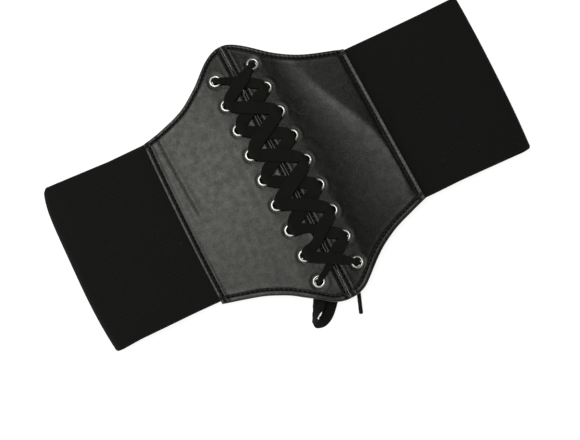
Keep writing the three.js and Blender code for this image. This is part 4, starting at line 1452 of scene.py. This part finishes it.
def band_faces(columns):
    """Faces of both skins, and of the four narrow edges between them."""
    rows, count, faces = BAND_ROWS, columns * BAND_ROWS, []
    for i in range(columns - 1):
        for j in range(rows - 1):
            a, b, c, d = i * rows + j, (i + 1) * rows + j, (i + 1) * rows + j + 1, i * rows + j + 1
            faces.append((a, b, c, d))
            faces.append((count + d, count + c, count + b, count + a))
    edges = []
    for i in range(columns - 1):
        edges += [(i * rows, (i + 1) * rows), ((i + 1) * rows + rows - 1, i * rows + rows - 1)]
    last = (columns - 1) * rows
    for j in range(rows - 1):
        edges += [(last + j, last + j + 1), (j + 1, j)]
    return faces + [(b, a, count + a, count + b) for a, b in edges]


def elastic_band():
    """The elastic in one piece, from under one side seam round both folds to under the other."""
    route = band_route()
    gone = np.concatenate([[0], np.cumsum(np.hypot(np.diff(route[:, 0]), np.diff(route[:, 1])))])
    verts = band_skins(route, gone[:, None])
    piece = make_piece("band_cloth", verts, band_faces(len(route)), ELASTIC)
    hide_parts("elastic_band")


elastic_band()


# Floor, light and surroundings, in metres
FLOOR_HALF = 3.0
FLOOR_DROP = 0.0004
LIGHT_TINT = (0.975, 1.0, 0.92)


def white_floor():
    """White paper that glows a little, as in a picture cut out on white."""
    corners = [(x * FLOOR_HALF, y * FLOOR_HALF, 0) for x, y in ((-1, -1), (1, -1), (1, 1), (-1, 1))]
    mesh = bpy.data.meshes.new("floor")
    mesh.from_pydata(corners, [], [(0, 1, 2, 3)])
    floor = bpy.data.objects.new("floor", mesh)
    floor.location.z = -FLOOR_DROP
    bpy.context.scene.collection.objects.link(floor)
    material, n, shader = start_material("white_paper")
    noise = n.noise(n.place(), Scale=3.0, Detail=1.0)
    colour = n.blend(noise.outputs["Fac"], (0.5, 0.5, 0.5, 1), (0.52, 0.52, 0.52, 1))
    n.join(colour, shader.inputs["Base Color"])
    shader.inputs["Roughness"].default_value = 1.0
    shader.inputs["Specular IOR Level"].default_value = 0.0
    shader.inputs["Emission Color"].default_value = (1, 1, 1, 1)
    shader.inputs["Emission Strength"].default_value = 0.85
    mesh.materials.append(material)


def light_tent():
    """Soft white surroundings, darker overhead and brighter low down and to the left."""
    world = bpy.data.worlds.new("light_tent")
    world.use_nodes = True
    bpy.context.scene.world = world
    n = Nodes(world.node_tree)
    background = world.node_tree.nodes["Background"]
    axes = n.axes(n.add("ShaderNodeTexCoord").outputs["Generated"])
    tent = n.ramp(axes[2], 0.3, 0.62, 0.7, 0.055)
    upper = n.ramp(axes[1], -0.8, 0.8, 1.2, 0.8)
    leftward = n.ramp(axes[0], -0.6, 0.8, 1.3, 0.6)
    background.inputs["Color"].default_value = (1, 1, 1, 1)
    n.join(n.maths("MULTIPLY", n.maths("MULTIPLY", tent, upper), leftward), background.inputs["Strength"])


def soft_box(name, place, spin, size, power):
    """A flat lamp that shines straight down."""
    data = bpy.data.lights.new(name, "AREA")
    data.shape = "RECTANGLE"
    data.size, data.size_y = size
    data.energy = power
    data.color = LIGHT_TINT
    lamp = bpy.data.objects.new(name, data)
    lamp.location = place
    lamp.rotation_euler = (0, 0, math.radians(spin))
    bpy.context.scene.collection.objects.link(lamp)


white_floor()
light_tent()
soft_box("key_box", (-0.49, 0.34, 1.2), 0, (1.16, 1.3), 8.0)
soft_box("edge_box", (0.25, 0.34, 1.2), 0, (0.32, 1.3), 0.27)
soft_box("hot_box", (-0.104, 0.345, 1.19), 21.5, (0.2, 0.34), 0.9)
bpy.context.scene.view_settings.view_transform = "Standard"
